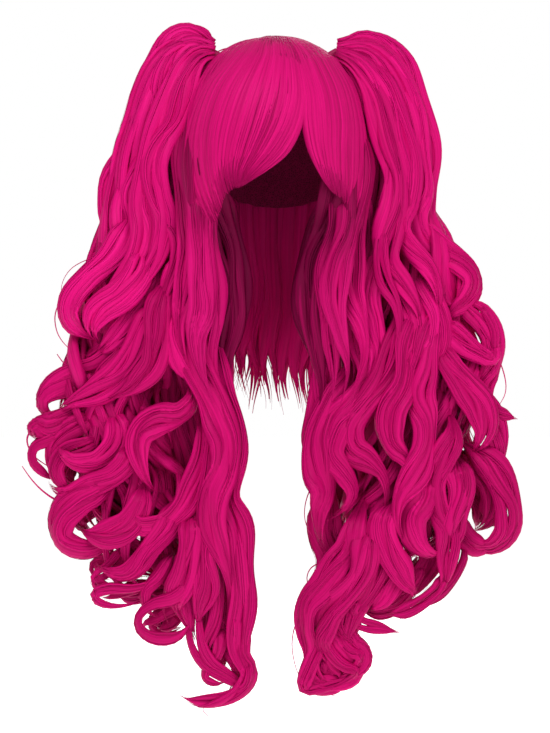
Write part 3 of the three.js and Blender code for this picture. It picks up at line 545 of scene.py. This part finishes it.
def add_lock(hair, path, outward, wide, thick, strands, points, tint, fray=0.12):
    """A lock: a ridged body, with a few strands that run on it, beside it and past its end.

    tint is one value, or one for each point of the path.
    """
    across, out = frames(path, outward)
    s = np.linspace(0, 1, points)
    core = s * (1 - 0.3 * fray)
    shade = np.broadcast_to(tint, len(path))
    close = 1 - 0.88 * smoothstep(1 - 1.3 * fray, 1, s)
    line, lean, half, depth, own = (read_rows(core, rows)[None] for rows in (path, out, wide, thick, shade))
    hair.add(line, lean, half * close, depth * close, lobed(points), own)
    p = (np.arange(strands) + rng.uniform(0.1, 0.9, strands)) / strands * 2 - 1
    face = np.where(rng.random(strands) < 0.25, -1.0, 1.0)
    end = 1 - rng.random(strands) ** 2 * fray
    t = s[None, :] * end[:, None]
    phase = rng.random((strands, 1)) * ANY_PHASE
    sway = 0.16 * np.sin(phase + t * rng.uniform(3, 9, (strands, 1)))
    place = np.clip(p[:, None] + sway, -1.12, 1.12)
    lift = face[:, None] * (0.12 + np.sqrt(np.clip(1 - place**2, 0, 1)))
    width_here, thick_here = read_rows(t, wide), read_rows(t, thick)
    across_here, out_here = read_rows(t, across), read_rows(t, out)
    lines = (
        read_rows(t, path)
        + across_here * (place * width_here)[..., None]
        + out_here * (lift * thick_here)[..., None]
    )
    lean = unit(
        out_here * (lift / np.maximum(thick_here, 0.5))[..., None]
        + across_here * (place / np.maximum(width_here, 0.5))[..., None]
    )
    fine = np.clip(width_here / 6, 0.4, 1) * (1 - 0.7 * smoothstep(0.85, 1, s))[None, :]
    half = rng.uniform(0.5, 1.4, (strands, 1)) * fine
    own = np.clip(read_rows(t, shade) + rng.normal(0, 0.1, (strands, 1)), DARKEST, 1)
    hair.add(lines, lean, half, half, STRAND, own)


# Materials


def start_material(name, roughness, specular):
    material = bpy.data.materials.new(name)
    material.use_nodes = True
    shader = material.node_tree.nodes["Principled BSDF"]
    shader.inputs["Roughness"].default_value = roughness
    shader.inputs["Specular IOR Level"].default_value = specular
    return material, material.node_tree, shader


def add_node(tree, kind, values=(), wires=()):
    """A node with values on some of its sockets and other nodes' outputs wired to some."""
    node = tree.nodes.new("ShaderNode" + kind)
    for socket, value in values:
        node.inputs[socket].default_value = value
    for socket, output in wires:
        tree.links.new(output, node.inputs[socket])
    return node


def colour_by(tree, shader, factor, stops):
    """The shader's colour from a ramp. Its stops are the first, the last and any between, with places."""
    ramp = add_node(tree, "ValToRGB", wires=[("Fac", factor)])
    elements = ramp.color_ramp.elements
    for k, (place, colour) in enumerate(stops):
        stop = elements[k] if k < 2 else elements.new(place)
        stop.position = place
        stop.color = (*colour, 1)
    tree.links.new(ramp.outputs["Color"], shader.inputs["Base Color"])


def bump_by(tree, shader, height, strength, distance):
    """A bump on the shader, whose node is returned."""
    bump = add_node(tree, "Bump", [("Strength", strength), ("Distance", distance)], [("Height", height)])
    tree.links.new(bump.outputs["Normal"], shader.inputs["Normal"])
    return bump


def hair_material(name, dark, middle, bright):
    material, tree, shader = start_material(name, 0.46, 0.12)
    shader.inputs["Specular Tint"].default_value = (1.0, 0.35, 0.7, 1)
    flow = add_node(tree, "Attribute")
    flow.attribute_name = "flow"
    along = flow.outputs["Vector"]
    parts = add_node(tree, "SeparateXYZ", wires=[(0, along)])
    stretch = add_node(tree, "Mapping", [("Scale", (0.55, 0.007, 2.0))], [("Vector", along)])
    noise = [("Scale", 1.0), ("Detail", 4.0), ("Roughness", 0.6)]
    streaks = add_node(tree, "TexNoise", noise, [("Vector", stretch.outputs["Vector"])]).outputs["Fac"]
    half = add_node(tree, "Math", [(1, 0.8)], [(0, streaks)])
    half.operation = "MULTIPLY"
    own = add_node(tree, "Math", [(1, 0.45)], [(0, parts.outputs["Z"]), (2, half.outputs[0])])
    own.operation = "MULTIPLY_ADD"
    colour_by(tree, shader, own.outputs[0], [(0.3, dark), (0.92, bright), (0.6, middle)])
    bump_by(tree, shader, streaks, 0.3, 0.0005)
    return material


def net_material():
    material, tree, shader = start_material("cap_net", 0.85, 0.1)
    place = add_node(tree, "TexCoord").outputs["Object"]
    cells = add_node(tree, "TexVoronoi", wires=[("Vector", place)])
    cells.feature = "DISTANCE_TO_EDGE"
    cells.inputs["Scale"].default_value = 450
    edge = cells.outputs["Distance"]
    colour_by(tree, shader, edge, [(0.0, (0.30, 0.004, 0.07)), (0.25, (0.09, 0.002, 0.025))])
    bump_by(tree, shader, edge, 0.6, 0.0006).invert = True
    return material


def clip_material():
    material, tree, shader = start_material("clip_plastic", 0.5, 0.2)
    place = add_node(tree, "TexCoord").outputs["Object"]
    grain = add_node(tree, "TexNoise", [("Scale", 300)], [("Vector", place)])
    colour_by(tree, shader, grain.outputs["Fac"], [(0.0, (0.26, 0.003, 0.06)), (1.0, (0.36, 0.004, 0.085))])
    return material


HAIR = hair_material("hair", (0.33, 0.0012, 0.072), (0.56, 0.003, 0.134), (0.78, 0.008, 0.215))
# A darker copy of the hair material: painted shade, for hair in the pigtails' cores, under the fringe and
# beside the face.
HAIR_PAINTED_SHADE = hair_material("hair_painted_shade", (0.13, 0.0005, 0.028), (0.40, 0.0018, 0.092), (0.58, 0.005, 0.15))


# Pigtails


def dome_share(level):
    """The dome's size as a share of its widest, from level 0 at its top to level 1 where it is widest."""
    return (1 - np.clip(1 - level, 0, 1) ** HAIR_ROUNDNESS) ** (1 / HAIR_ROUNDNESS)


def clip_root(side):
    """Where a pigtail leaves its clip."""
    share = dome_share((CLIP_SEAT_DROP + HAIR_TOP_Z) / (HAIR_WIDEST_DROP + HAIR_TOP_Z))
    seat = np.array([side * HAIR_HALF_BREADTH * share, CLIP_SEAT_BACK, -CLIP_SEAT_DROP])
    away = np.array([side * math.cos(CLIP_TILT), 0, math.sin(CLIP_TILT)])
    return seat + away * (CLIP_HEIGHT + CLEARANCE)


class Bundle:
    """A pigtail's middle line and size, read at u from 0 at the clip to 1 at the tips."""

    def __init__(self, side, table):
        self.side = side
        self.root = clip_root(side)
        sizes = [PIGTAIL_SPREAD, PIGTAIL_LENGTH, PIGTAIL_FORWARD, PIGTAIL_HALF_WIDTH, PIGTAIL_HALF_DEPTH]
        rows = np.array(table) * sizes
        self.by_drop = even(rows, 300, 3)
        self.table = smooth(self.by_drop, 12)
        self.table[:, 3:] = self.by_drop[:, 3:]

    def read(self, u):
        out, drop, forward, wide, deep = np.moveaxis(read_rows(u, self.table), -1, 0)
        middle = np.stack(
            [self.root[0] + self.side * out, self.root[1] - forward, self.root[2] - drop], axis=-1
        )
        return middle, wide, deep

    def axes(self, u):
        """Directions across the bundle, away from the head, and to the front."""
        along = unit(self.read(np.clip(u + 0.012, 0, 1))[0] - self.read(np.clip(u - 0.012, 0, 1))[0])
        front = np.broadcast_to(FRONT, along.shape)
        return unit(np.cross(along, front)) * -self.side, front

    def forward(self, height, layer):
        """How far forward of the middle plane a layer of the bundle lies at a height."""
        drop = np.maximum.accumulate(self.by_drop[:, 1])
        middle = np.interp(self.root[2] - height, drop, self.by_drop[:, 2]) - self.root[1]
        deep = np.interp(self.root[2] - height, drop, self.by_drop[:, 4])
        return middle + layer * deep


def from_photo(rows, forward):
    """Points, in millimetres, of a path that is given in the picture's pixels."""
    near = 1 - forward / CAMERA_DISTANCE
    x = AIM_X + ((rows[..., 0] - CENTRE_PIXEL_X) * PIXEL - AIM_X) * near
    z = AIM_Z + ((TOP_PIXEL_Y - rows[..., 1]) * PIXEL - AIM_Z) * near
    return np.stack([x, -forward, z], axis=-1)


def facing(path, lean):
    """Outward directions of a lock that faces the front and leans out of its bends."""
    along = unit(np.gradient(path, axis=0))
    bend = smooth(np.gradient(along, axis=0), 14)
    bend /= np.maximum(np.abs(bend).max(), 1e-6)
    bend[:, 1] = 0
    return unit(FRONT - lean * bend)


def photo_lock(hair, row, depth_of, tint, rise=0.0):
    """Locks side by side along a path in the picture. They come out of the mass, or start at the clip."""
    width, start, end, turns = row[:4]
    rows = even(pixels(turns), PATH_POINTS, 2)
    s = np.linspace(0, 1, PATH_POINTS)
    flat = from_photo(rows, np.zeros(PATH_POINTS))
    free = turns[1] > FREE_BELOW
    below = rise * (1 - smoothstep(0, 0.2, s)) * free + 1.1 * rise * smoothstep(0.8, 1, s)
    forward = depth_of(flat, start + (end - start) * s - below)
    path = smooth(from_photo(rows, forward), 5)
    length = np.linalg.norm(np.diff(path, axis=0), axis=1).sum()
    across, out = frames(path, facing(path, 0.75))
    narrow = 0.12 if free else 0.3
    whole = 1.25 * width * PIXEL * (narrow + (1 - narrow) * smoothstep(0, 0.22, s))
    count = 1 + (width >= 7) + (width >= 9)
    for k in range(count):
        last = int(PATH_POINTS * rng.uniform(0.92, 1.0))
        closing = 1 - 0.9 * smoothstep(rng.uniform(0.55, 0.72), 1, s * PATH_POINTS / last)
        roam = rng.uniform(0.08, 0.2)
        roam = roam * np.sin(math.tau * (rng.random() + s * length / rng.uniform(90, 150)))
        shift = whole * closing * (0.56 * (2 * (k + 0.5) / count - 1) * 1.5 * (count > 1) + roam)
        lift = rng.uniform(-1.5, 1.5)
        lift = (lift + 1.5 * np.sin(math.tau * (rng.random() + s * length / 130))) * closing
        swell = 1 + 0.22 * np.sin(math.tau * (rng.random() + s * length / rng.uniform(80, 120)))
        wide = whole * closing * swell * (rng.uniform(0.4, 0.52) if count > 1 else 0.8)
        place = path + across * shift[:, None] + out * lift[:, None]
        points = int(np.clip(length / POINT_SPACING, 20, 80))
        own = np.broadcast_to(np.clip(tint + rng.uniform(-0.12, 0.12), DARKEST, 1), PATH_POINTS)
        thick = np.minimum(LOCK_THICKNESS, wide * 0.5)
        add_lock(hair, *(part[:last] for part in (place, out, wide, thick)), 3, points, own[:last])


def winding_lock(
    hair, bundle, points, strands, lane, layer, begin, end, turns, phase, roundness, curl, wide, thick, tint
):
    """A lock that waves from side to side over its own place in the bundle, or winds if it is round."""
    u = np.linspace(begin, end, 200)
    s = np.linspace(0, 1, len(u))
    middle, room_wide, room_deep = bundle.read(u)
    across, front = bundle.axes(u)
    angle = math.tau * (phase + turns * np.clip((u - 0.12) / 0.88, 0, 1) ** 1.25)
    grow = smoothstep(0.1, 0.6, u)
    radius = CURL_RADIUS * curl * (0.06 + 0.94 * grow) * (1 - 0.3 * smoothstep(0.85, 1, u))
    room_wide = np.maximum(0, room_wide - thick - 0.8 * radius)
    room_deep = np.maximum(0, room_deep - thick - 0.8 * radius)
    centre = middle + across * (lane * room_wide)[:, None] + front * (layer * room_deep)[:, None]
    away = unit(across * (lane + 1e-3) + front * layer)
    aside = unit(across * layer - front * (lane + 1e-3))
    radial = aside * np.cos(angle)[:, None] + away * (roundness * np.sin(angle))[:, None]
    path = centre + radial * radius[:, None]
    twist = roundness * smoothstep(0.15, 0.45, u)[:, None]
    outward = unit(away * (1 - 0.75 * twist) + unit(radial) * 0.75 * twist)
    taper = (0.35 + 0.65 * smoothstep(0, 0.12, s)) * (1 - 0.86 * smoothstep(0.7, 1, s))
    swell = 1 + 0.2 * np.sin(angle * 0.7)
    add_lock(hair, path, outward, wide * taper * swell, thick * taper, strands, points, tint)


def pigtail(side, table, photo_rows, wisps, name):
    bundle = Bundle(side, table)

    def depth_of(flat, layer):
        return bundle.forward(flat[:, 2], layer * 0.95) - 3

    hair, core = Hair(), Hair()
    for row in photo_rows:
        # Painted shade: a lock is darker the further back it lies in the bundle and the lower it ends; a
        # row's last value adds painted light where above 0 and painted shade where below.
        low = 0.4 * smoothstep(*LOW_SHADE, row[3][-1])
        tint = 0.3 + 0.24 * np.clip((row[1] + row[2]) / 2, 0, 1) - low + sum(row[4:])
        photo_lock(core if row[1] < 0 else hair, row, depth_of, tint, rise=0.5)
    for _ in range(RINGLETS):
        lane = rng.uniform(-0.9, 0.5)
        begin = rng.uniform(0.42, 0.62)
        winding_lock(
            hair, bundle, 48, 4,
            lane=lane,
            layer=rng.uniform(0.25, 0.6) * math.sqrt(1 - 0.7 * lane * lane),
            begin=begin,
            end=min(begin + rng.uniform(0.25, 0.42), 0.96 - 0.24 * max(0.0, lane)),
            turns=rng.uniform(3.6, 4.8) * side,
            phase=rng.random(),
            roundness=0.6,
            curl=rng.uniform(0.6, 1.0),
            wide=rng.uniform(4, 7.5),
            thick=rng.uniform(2.4, 3.4),
            tint=rng.uniform(0.05, 0.5),
        )
    for half, turns in wisps:
        rows = even(pixels(turns), 24, 2)
        forward = depth_of(from_photo(rows, np.zeros(24)), 0.3)
        thin = 1.6 * half * np.linspace(1, 0.3, 24)[None]
        path = from_photo(rows, forward)[None]
        hair.add(path, FRONT + 0 * path, thin, thin, ellipse(4), [0.5])
    hair.make(name + "_front", HAIR, name)
    hair = Hair()
    for count, reach, start in BACKGROUND_RINGS:
        for k in range(count):
            around = 2 * math.pi * (k + start + rng.uniform(-0.2, 0.2)) / count
            lane, layer = reach * math.cos(around), reach * math.sin(around)
            lane *= 1 - 0.12 * (lane > 0.3)
            end = 0.84 + 0.06 * max(0.0, -lane) + rng.uniform(-0.05, 0.04)
            if lane > 0.4:
                end = rng.uniform(0.58, 0.7)
            # Rings that reach less far out go in the core, with the darker copy of the hair material, as
            # painted shade.
            winding_lock(
                hair if reach > 0.8 else core, bundle, 50, 3,
                lane=lane,
                layer=layer * (1.0 if layer < 0 else 0.8 if lane > 0.5 else 0.35) - 0.15,
                begin=0.0,
                end=min(1.0, end),
                turns=rng.uniform(4.4, 5.4),
                phase=0.4 * lane + rng.uniform(0, 0.4),
                roundness=0.5,
                curl=rng.uniform(0.6, 1.1),
                wide=rng.uniform(8, 14),
                thick=rng.uniform(3.8, 5.2),
                tint=rng.uniform(0.05, 0.5),
            )
    hair.make(name + "_back", HAIR, name)
    core.make(name + "_core", HAIR_PAINTED_SHADE, name)


pigtail(1, LEFT_PIGTAIL, LOCKS_LEFT, WISPS_LEFT, "pigtail_left")
pigtail(-1, RIGHT_PIGTAIL, LOCKS_RIGHT, WISPS_RIGHT, "pigtail_right")


# Locks beside the face


def cap_front(flat):
    """How far forward the outside of the cap's hair lies behind each point of the front view."""
    share = dome_share((HAIR_TOP_Z - flat[..., 2]) / (HAIR_WIDEST_DROP + HAIR_TOP_Z))
    inside = np.clip(1 - (flat[..., 0] / (HAIR_HALF_BREADTH * share + 2)) ** 2, 0.004, 1)
    return HAIR_HALF_LENGTH * share * np.sqrt(inside)


def over_cap(flat, forward):
    """forward, and over the hair on the cap where a lock is above its rim."""
    above = smoothstep(-HAIR_RIM_DROP - 45, -HAIR_RIM_DROP + 12, flat[:, 2])
    rising = -12 + 12 * smoothstep(HAIR_WIDEST_DROP, HAIR_WIDEST_DROP + 55, -flat[:, 2])
    return forward + (cap_front(flat) + rising - forward) * above


def side_locks(rows, shades, shadow, name):
    """The fringe's shadow on these locks fades between the two heights of shadow, in pixels."""
    light, dark = Hair(), Hair()
    for k, (row, shade) in enumerate(zip(rows, shades)):
        height = even(pixels(row[3]), PATH_POINTS, 2)[:, 1]
        under_fringe = UNDER_FRINGE_SHADE * (1 - smoothstep(*shadow, height))
        # Rows in SIDE_DARK_ROWS take the darker copy of the hair material, as painted shade.
        photo_lock(dark if k in SIDE_DARK_ROWS else light, row, over_cap, shade - under_fringe)
    light.make(name + "_waves", HAIR, name)
    dark.make(name + "_shaded", HAIR_PAINTED_SHADE, name)


side_locks(SIDE_LEFT, SIDE_LEFT_SHADES, (215, 315), "side_lock_left")
side_locks(SIDE_RIGHT, SIDE_RIGHT_SHADES, (195, 265), "side_lock_right")


# Hair on the cap


def dome_point(azimuth, drop, lift):
    """A point of the hair's outside, lift above it. drop is below the hair's top."""
    level = np.clip(drop / (HAIR_WIDEST_DROP + HAIR_TOP_Z), 0, 2)
    share = np.where(level < 1, dome_share(level), 1 - HAIR_TAPER * (level - 1) ** 2)
    low = np.minimum(1, level * 4)
    return np.stack(
        [
            (HAIR_HALF_BREADTH * share + lift * low) * np.sin(azimuth),
            -(HAIR_HALF_LENGTH * share + lift * low) * np.cos(azimuth),
            HAIR_TOP_Z - drop + lift * (1 - np.minimum(1, level * 2)),
        ],
        axis=-1,
    )


def dome_strands(hair, azimuth, shift, end_drop, lift, width, thick, section, tint):
    """Strips combed down the dome from its top. Each argument but hair is one value a strip."""
    s = np.linspace(0, 1, DOME_POINTS)[None, :]
    drop = (end_drop + HAIR_TOP_Z)[:, None] * s**1.75
    turn = azimuth[:, None] + shift[:, None] * (1 - s**2)
    path = dome_point(turn, drop, lift[:, None])
    outward = unit(path - HEAD_MIDDLE)
    reach = np.linalg.norm(path[..., :2], axis=-1) / HAIR_HALF_BREADTH
    half = width[:, None] * np.clip(reach, 0.05, 1) * (1 - 0.85 * smoothstep(0.8, 1, s))
    hair.add(path, outward, half, np.minimum(half, thick), section, tint)


def crown():
    """Rounded bodies side by side over the dome, with strands on them."""
    hair = Hair()
    low, high = math.radians(FRINGE_SIDE_AZIMUTH - 5), math.radians(365 - FRINGE_SIDE_AZIMUTH)

    def comb(k, loose, share, lift, width, thick, section, tint):
        """Strips at k from 0 to 1 around the dome, each turned by loose, for a share of the whole drop."""
        shift = 0.05 * np.sin(k * 40) + loose
        drop = HAIR_RIM_DROP + CROWN_PAST_RIM + 22 * np.sin(k * 90) + 16 * np.sin(k * 61)
        drop = drop - CROWN_FRONT_RISE * (1 - smoothstep(0.02, 0.1, np.minimum(k, 1 - k)))
        dome_strands(hair, low + (high - low) * k, shift, drop * share, lift, width, thick, section, tint)

    n = CROWN_BODIES
    k = (np.arange(n) + 0.5) / n
    width = np.full(n, 1.3 * (high - low) * HAIR_HALF_LENGTH / n)
    share, lift, tint = (rng.uniform(*span, n) for span in ((0.97, 1.0), (-3.4, -2.8), (0.3, 0.5)))
    comb(k, 0, share, lift, width, 3.2, ellipse(8), tint)
    for n, height in CROWN_STRANDS:
        k = np.clip((np.arange(n) + rng.random(n)) / n, 0, 1)
        loose, share = rng.normal(0, 0.02, n), rng.uniform(0.8, 1.01, n)
        lift, width = rng.normal(height, 0.2, n), rng.uniform(1.3, 3.6, n)
        comb(k, loose, share, lift, width, 9.0, STRAND, np.clip(rng.normal(0.42, 0.14, n), 0, 1))
    hair.make("crown_strands", HAIR, "crown_hair")


def swept(curves, k, lift, ends):
    """Paths between the guide curves, laid on the cap's hair and evenly spaced."""
    rows = spline(curves.reshape(len(curves), -1), k).reshape(len(k), -1, 2)
    forward = np.zeros(rows.shape[:2])
    for _ in range(4):
        flat = from_photo(rows, forward)
        above = smoothstep(-HAIR_RIM_DROP - 60, -HAIR_RIM_DROP + 5, flat[..., 2])
        forward = FRINGE_LOW_FORWARD + (cap_front(flat) + lift[:, None] - FRINGE_LOW_FORWARD) * above
    path = from_photo(rows, forward)
    first = path[:, :1]
    azimuth = np.arctan2(first[..., 0] / HAIR_HALF_BREADTH, -first[..., 1] / HAIR_HALF_LENGTH)
    down = (HAIR_TOP_Z + 1 - first[..., 2]) * np.linspace(0.03, 0.93, 10) ** 2
    path = np.concatenate([dome_point(azimuth, down, lift[:, None]), path], axis=1)
    return np.stack([even(line[: int(len(line) * end)], FRINGE_POINTS, 3) for line, end in zip(path, ends)])


def fringe(name, guides, bodies, strands, parting):
    """Hair between the guides. parting is the k, 0 or 1, of the guide by the parting."""
    hair = Hair()
    curves = np.stack([even(pixels(guide), 150, 2) for guide in guides])
    s = np.linspace(0, 1, FRINGE_POINTS)[None, :]
    # Painted shade: the fringe darkens towards its tips.
    shade = -0.05 - 0.16 * smoothstep(0.5, 0.85, s) - 0.2 * smoothstep(0.85, 1, s)

    def lay(k, lift, width, thick, section, tint, ends):
        sunk = lift - 1.6 * smoothstep(0.75, 1, np.abs(k - parting))
        path = swept(curves, k, sunk, ends)
        outward = unit(path - HEAD_MIDDLE)
        half = width * (1 - 0.85 * smoothstep(0.78, 1, s))
        own = np.clip(tint[:, None] + shade, DARKEST, 1)
        hair.add(path, outward, half, np.minimum(half, thick), section, own)

    k = (np.arange(bodies) + 0.5) / bodies
    whole = np.ones(bodies)
    right, left = (swept(curves, k + half / bodies, whole, whole) for half in (0.5, -0.5))
    spacing = np.linalg.norm(right - left, axis=-1)
    tint = rng.uniform(0.3, 0.45, bodies)
    lay(k, -1.6 * whole, 0.82 * spacing + 1.0, 3.0, ellipse(10), tint, 0.985 * whole)
    for lift in (0.5, 1.0):
        k = (np.arange(strands) + rng.random(strands)) / strands
        spread = bodies / strands * rng.uniform(0.6, 2.2, strands)
        wide = spacing[(k * bodies).astype(int)] * spread[:, None]
        ends = 1 - 0.05 * rng.random(strands) ** 2
        tint = np.clip(rng.normal(0.4, 0.12, strands), 0, 1)
        lay(k, rng.normal(lift, 0.15, strands), wide + 0.15, 9.0, STRAND, tint, ends)
    hair.make(name + "_strands", HAIR, name)


crown()
fringe("fringe_right", FRINGE_RIGHT, 26, 120, 1.0)
fringe("fringe_left", FRINGE_LEFT, 14, 62, 0.0)


# Back hair


def back_hair():
    hair = Hair()
    s = np.linspace(0, 1, BACK_POINTS)
    for row, count in enumerate(BACK_COUNTS):
        for k in range(count):
            azimuth = math.radians(BACK_FROM + BACK_SPAN * (k + 0.5 * row + 0.25) / count)
            sine, cosine = math.sin(azimuth), math.cos(azimuth)
            fall = np.maximum(0, (s - 0.08) / 0.92)
            narrow = 1 - BACK_HAIR_NARROWING * np.minimum(1, 2 * fall)
            wave = rng.uniform(4, 8) * smoothstep(0.15, 0.9, s)
            turn = 2 * np.pi * (0.3 * rng.random() + 0.06 * k + rng.uniform(1.6, 2.0) * s)
            length = BACK_HAIR_LENGTH * rng.uniform(0.82, 1.0)
            inset = 5 + 6 * row + 2 * fall - 0.5 * wave * np.sin(turn)
            aside = wave * np.cos(turn)
            x = (HAIR_HALF_BREADTH * narrow - inset) * sine + aside * cosine
            y = -(HAIR_HALF_LENGTH - inset) * cosine + aside * sine
            path = np.stack([x, y, -HAIR_RIM_DROP + 22 - (length + 22) * s], axis=-1)
            outward = np.broadcast_to([sine, -cosine, 0.0], path.shape)
            taper = (0.8 + 0.2 * smoothstep(0, 0.2, s)) * (1 - 0.65 * smoothstep(0.6, 1, s))
            tint = rng.uniform(0.2, 0.5)
            add_lock(hair, path, outward, 10 * taper, 4.2 * taper, 4, 34, tint, fray=0.2)
    hair.make("back_locks", HAIR, "back_hair")


back_hair()


# Pieces of the part that stay, with finer materials


def dress(node, material):
    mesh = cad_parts[node].data
    mesh.materials.clear()
    mesh.materials.append(material)


dress("wig_cap", net_material())
for clip in ("clip_left", "clip_right"):
    dress(clip, clip_material())


# Camera, floor and light

SENSOR = 24.0
AIM = Vector((AIM_X * MM, 0.0, AIM_Z * MM))

camera_data = bpy.data.cameras.new("camera")
camera_data.sensor_fit = "VERTICAL"
camera_data.sensor_height = SENSOR
camera_data.lens = SENSOR * CAMERA_DISTANCE / (PHOTO_HEIGHT * PIXEL)
camera = bpy.data.objects.new("camera", camera_data)
bpy.context.scene.collection.objects.link(camera)
camera.location = AIM + Vector((0, -CAMERA_DISTANCE * MM, 0))
camera.rotation_euler = (math.pi / 2, 0, 0)
bpy.context.scene.camera = camera

FLOOR_DROP = 0.78
WHITE = (1, 1, 1, 1)
bpy.ops.mesh.primitive_plane_add(size=30, location=(0, 0, -FLOOR_DROP))
floor = bpy.context.object
floor.name = "floor"
floor_material, _, floor_shader = start_material("floor", 0.9, 0.5)
floor_shader.inputs["Base Color"].default_value = WHITE
floor_shader.inputs["Emission Color"].default_value = WHITE
floor_shader.inputs["Emission Strength"].default_value = 0.7
floor.data.materials.append(floor_material)


def area_light(name, place, size, energy):
    data = bpy.data.lights.new(name, "AREA")
    data.shape = "DISK"
    data.size = size
    data.energy = energy
    light = bpy.data.objects.new(name, data)
    light.location = place
    light.rotation_euler = (Vector((0, 0, -0.3)) - light.location).to_track_quat("-Z", "Y").to_euler()
    bpy.context.scene.collection.objects.link(light)


area_light("key", Vector((-0.7, -1.9, 1.7)), 1.5, 43)
area_light("fill", Vector((1.3, -2.0, 0.6)), 1.8, 18)
area_light("rim", Vector((0.4, 2.2, 0.3)), 2.0, 18)

world = bpy.data.worlds.new("world")
bpy.context.scene.world = world
world.use_nodes = True
tree = world.node_tree
background = tree.nodes["Background"]
background.inputs["Color"].default_value = WHITE
background.inputs["Strength"].default_value = 0.34
white = add_node(tree, "Background", [("Color", WHITE)])
seen = add_node(tree, "LightPath").outputs["Is Camera Ray"]
both = [("Fac", seen), (1, background.outputs[0]), (2, white.outputs[0])]
choose = add_node(tree, "MixShader", wires=both)
tree.links.new(choose.outputs[0], tree.nodes["World Output"].inputs["Surface"])
bpy.context.scene.view_settings.view_transform = "Standard"
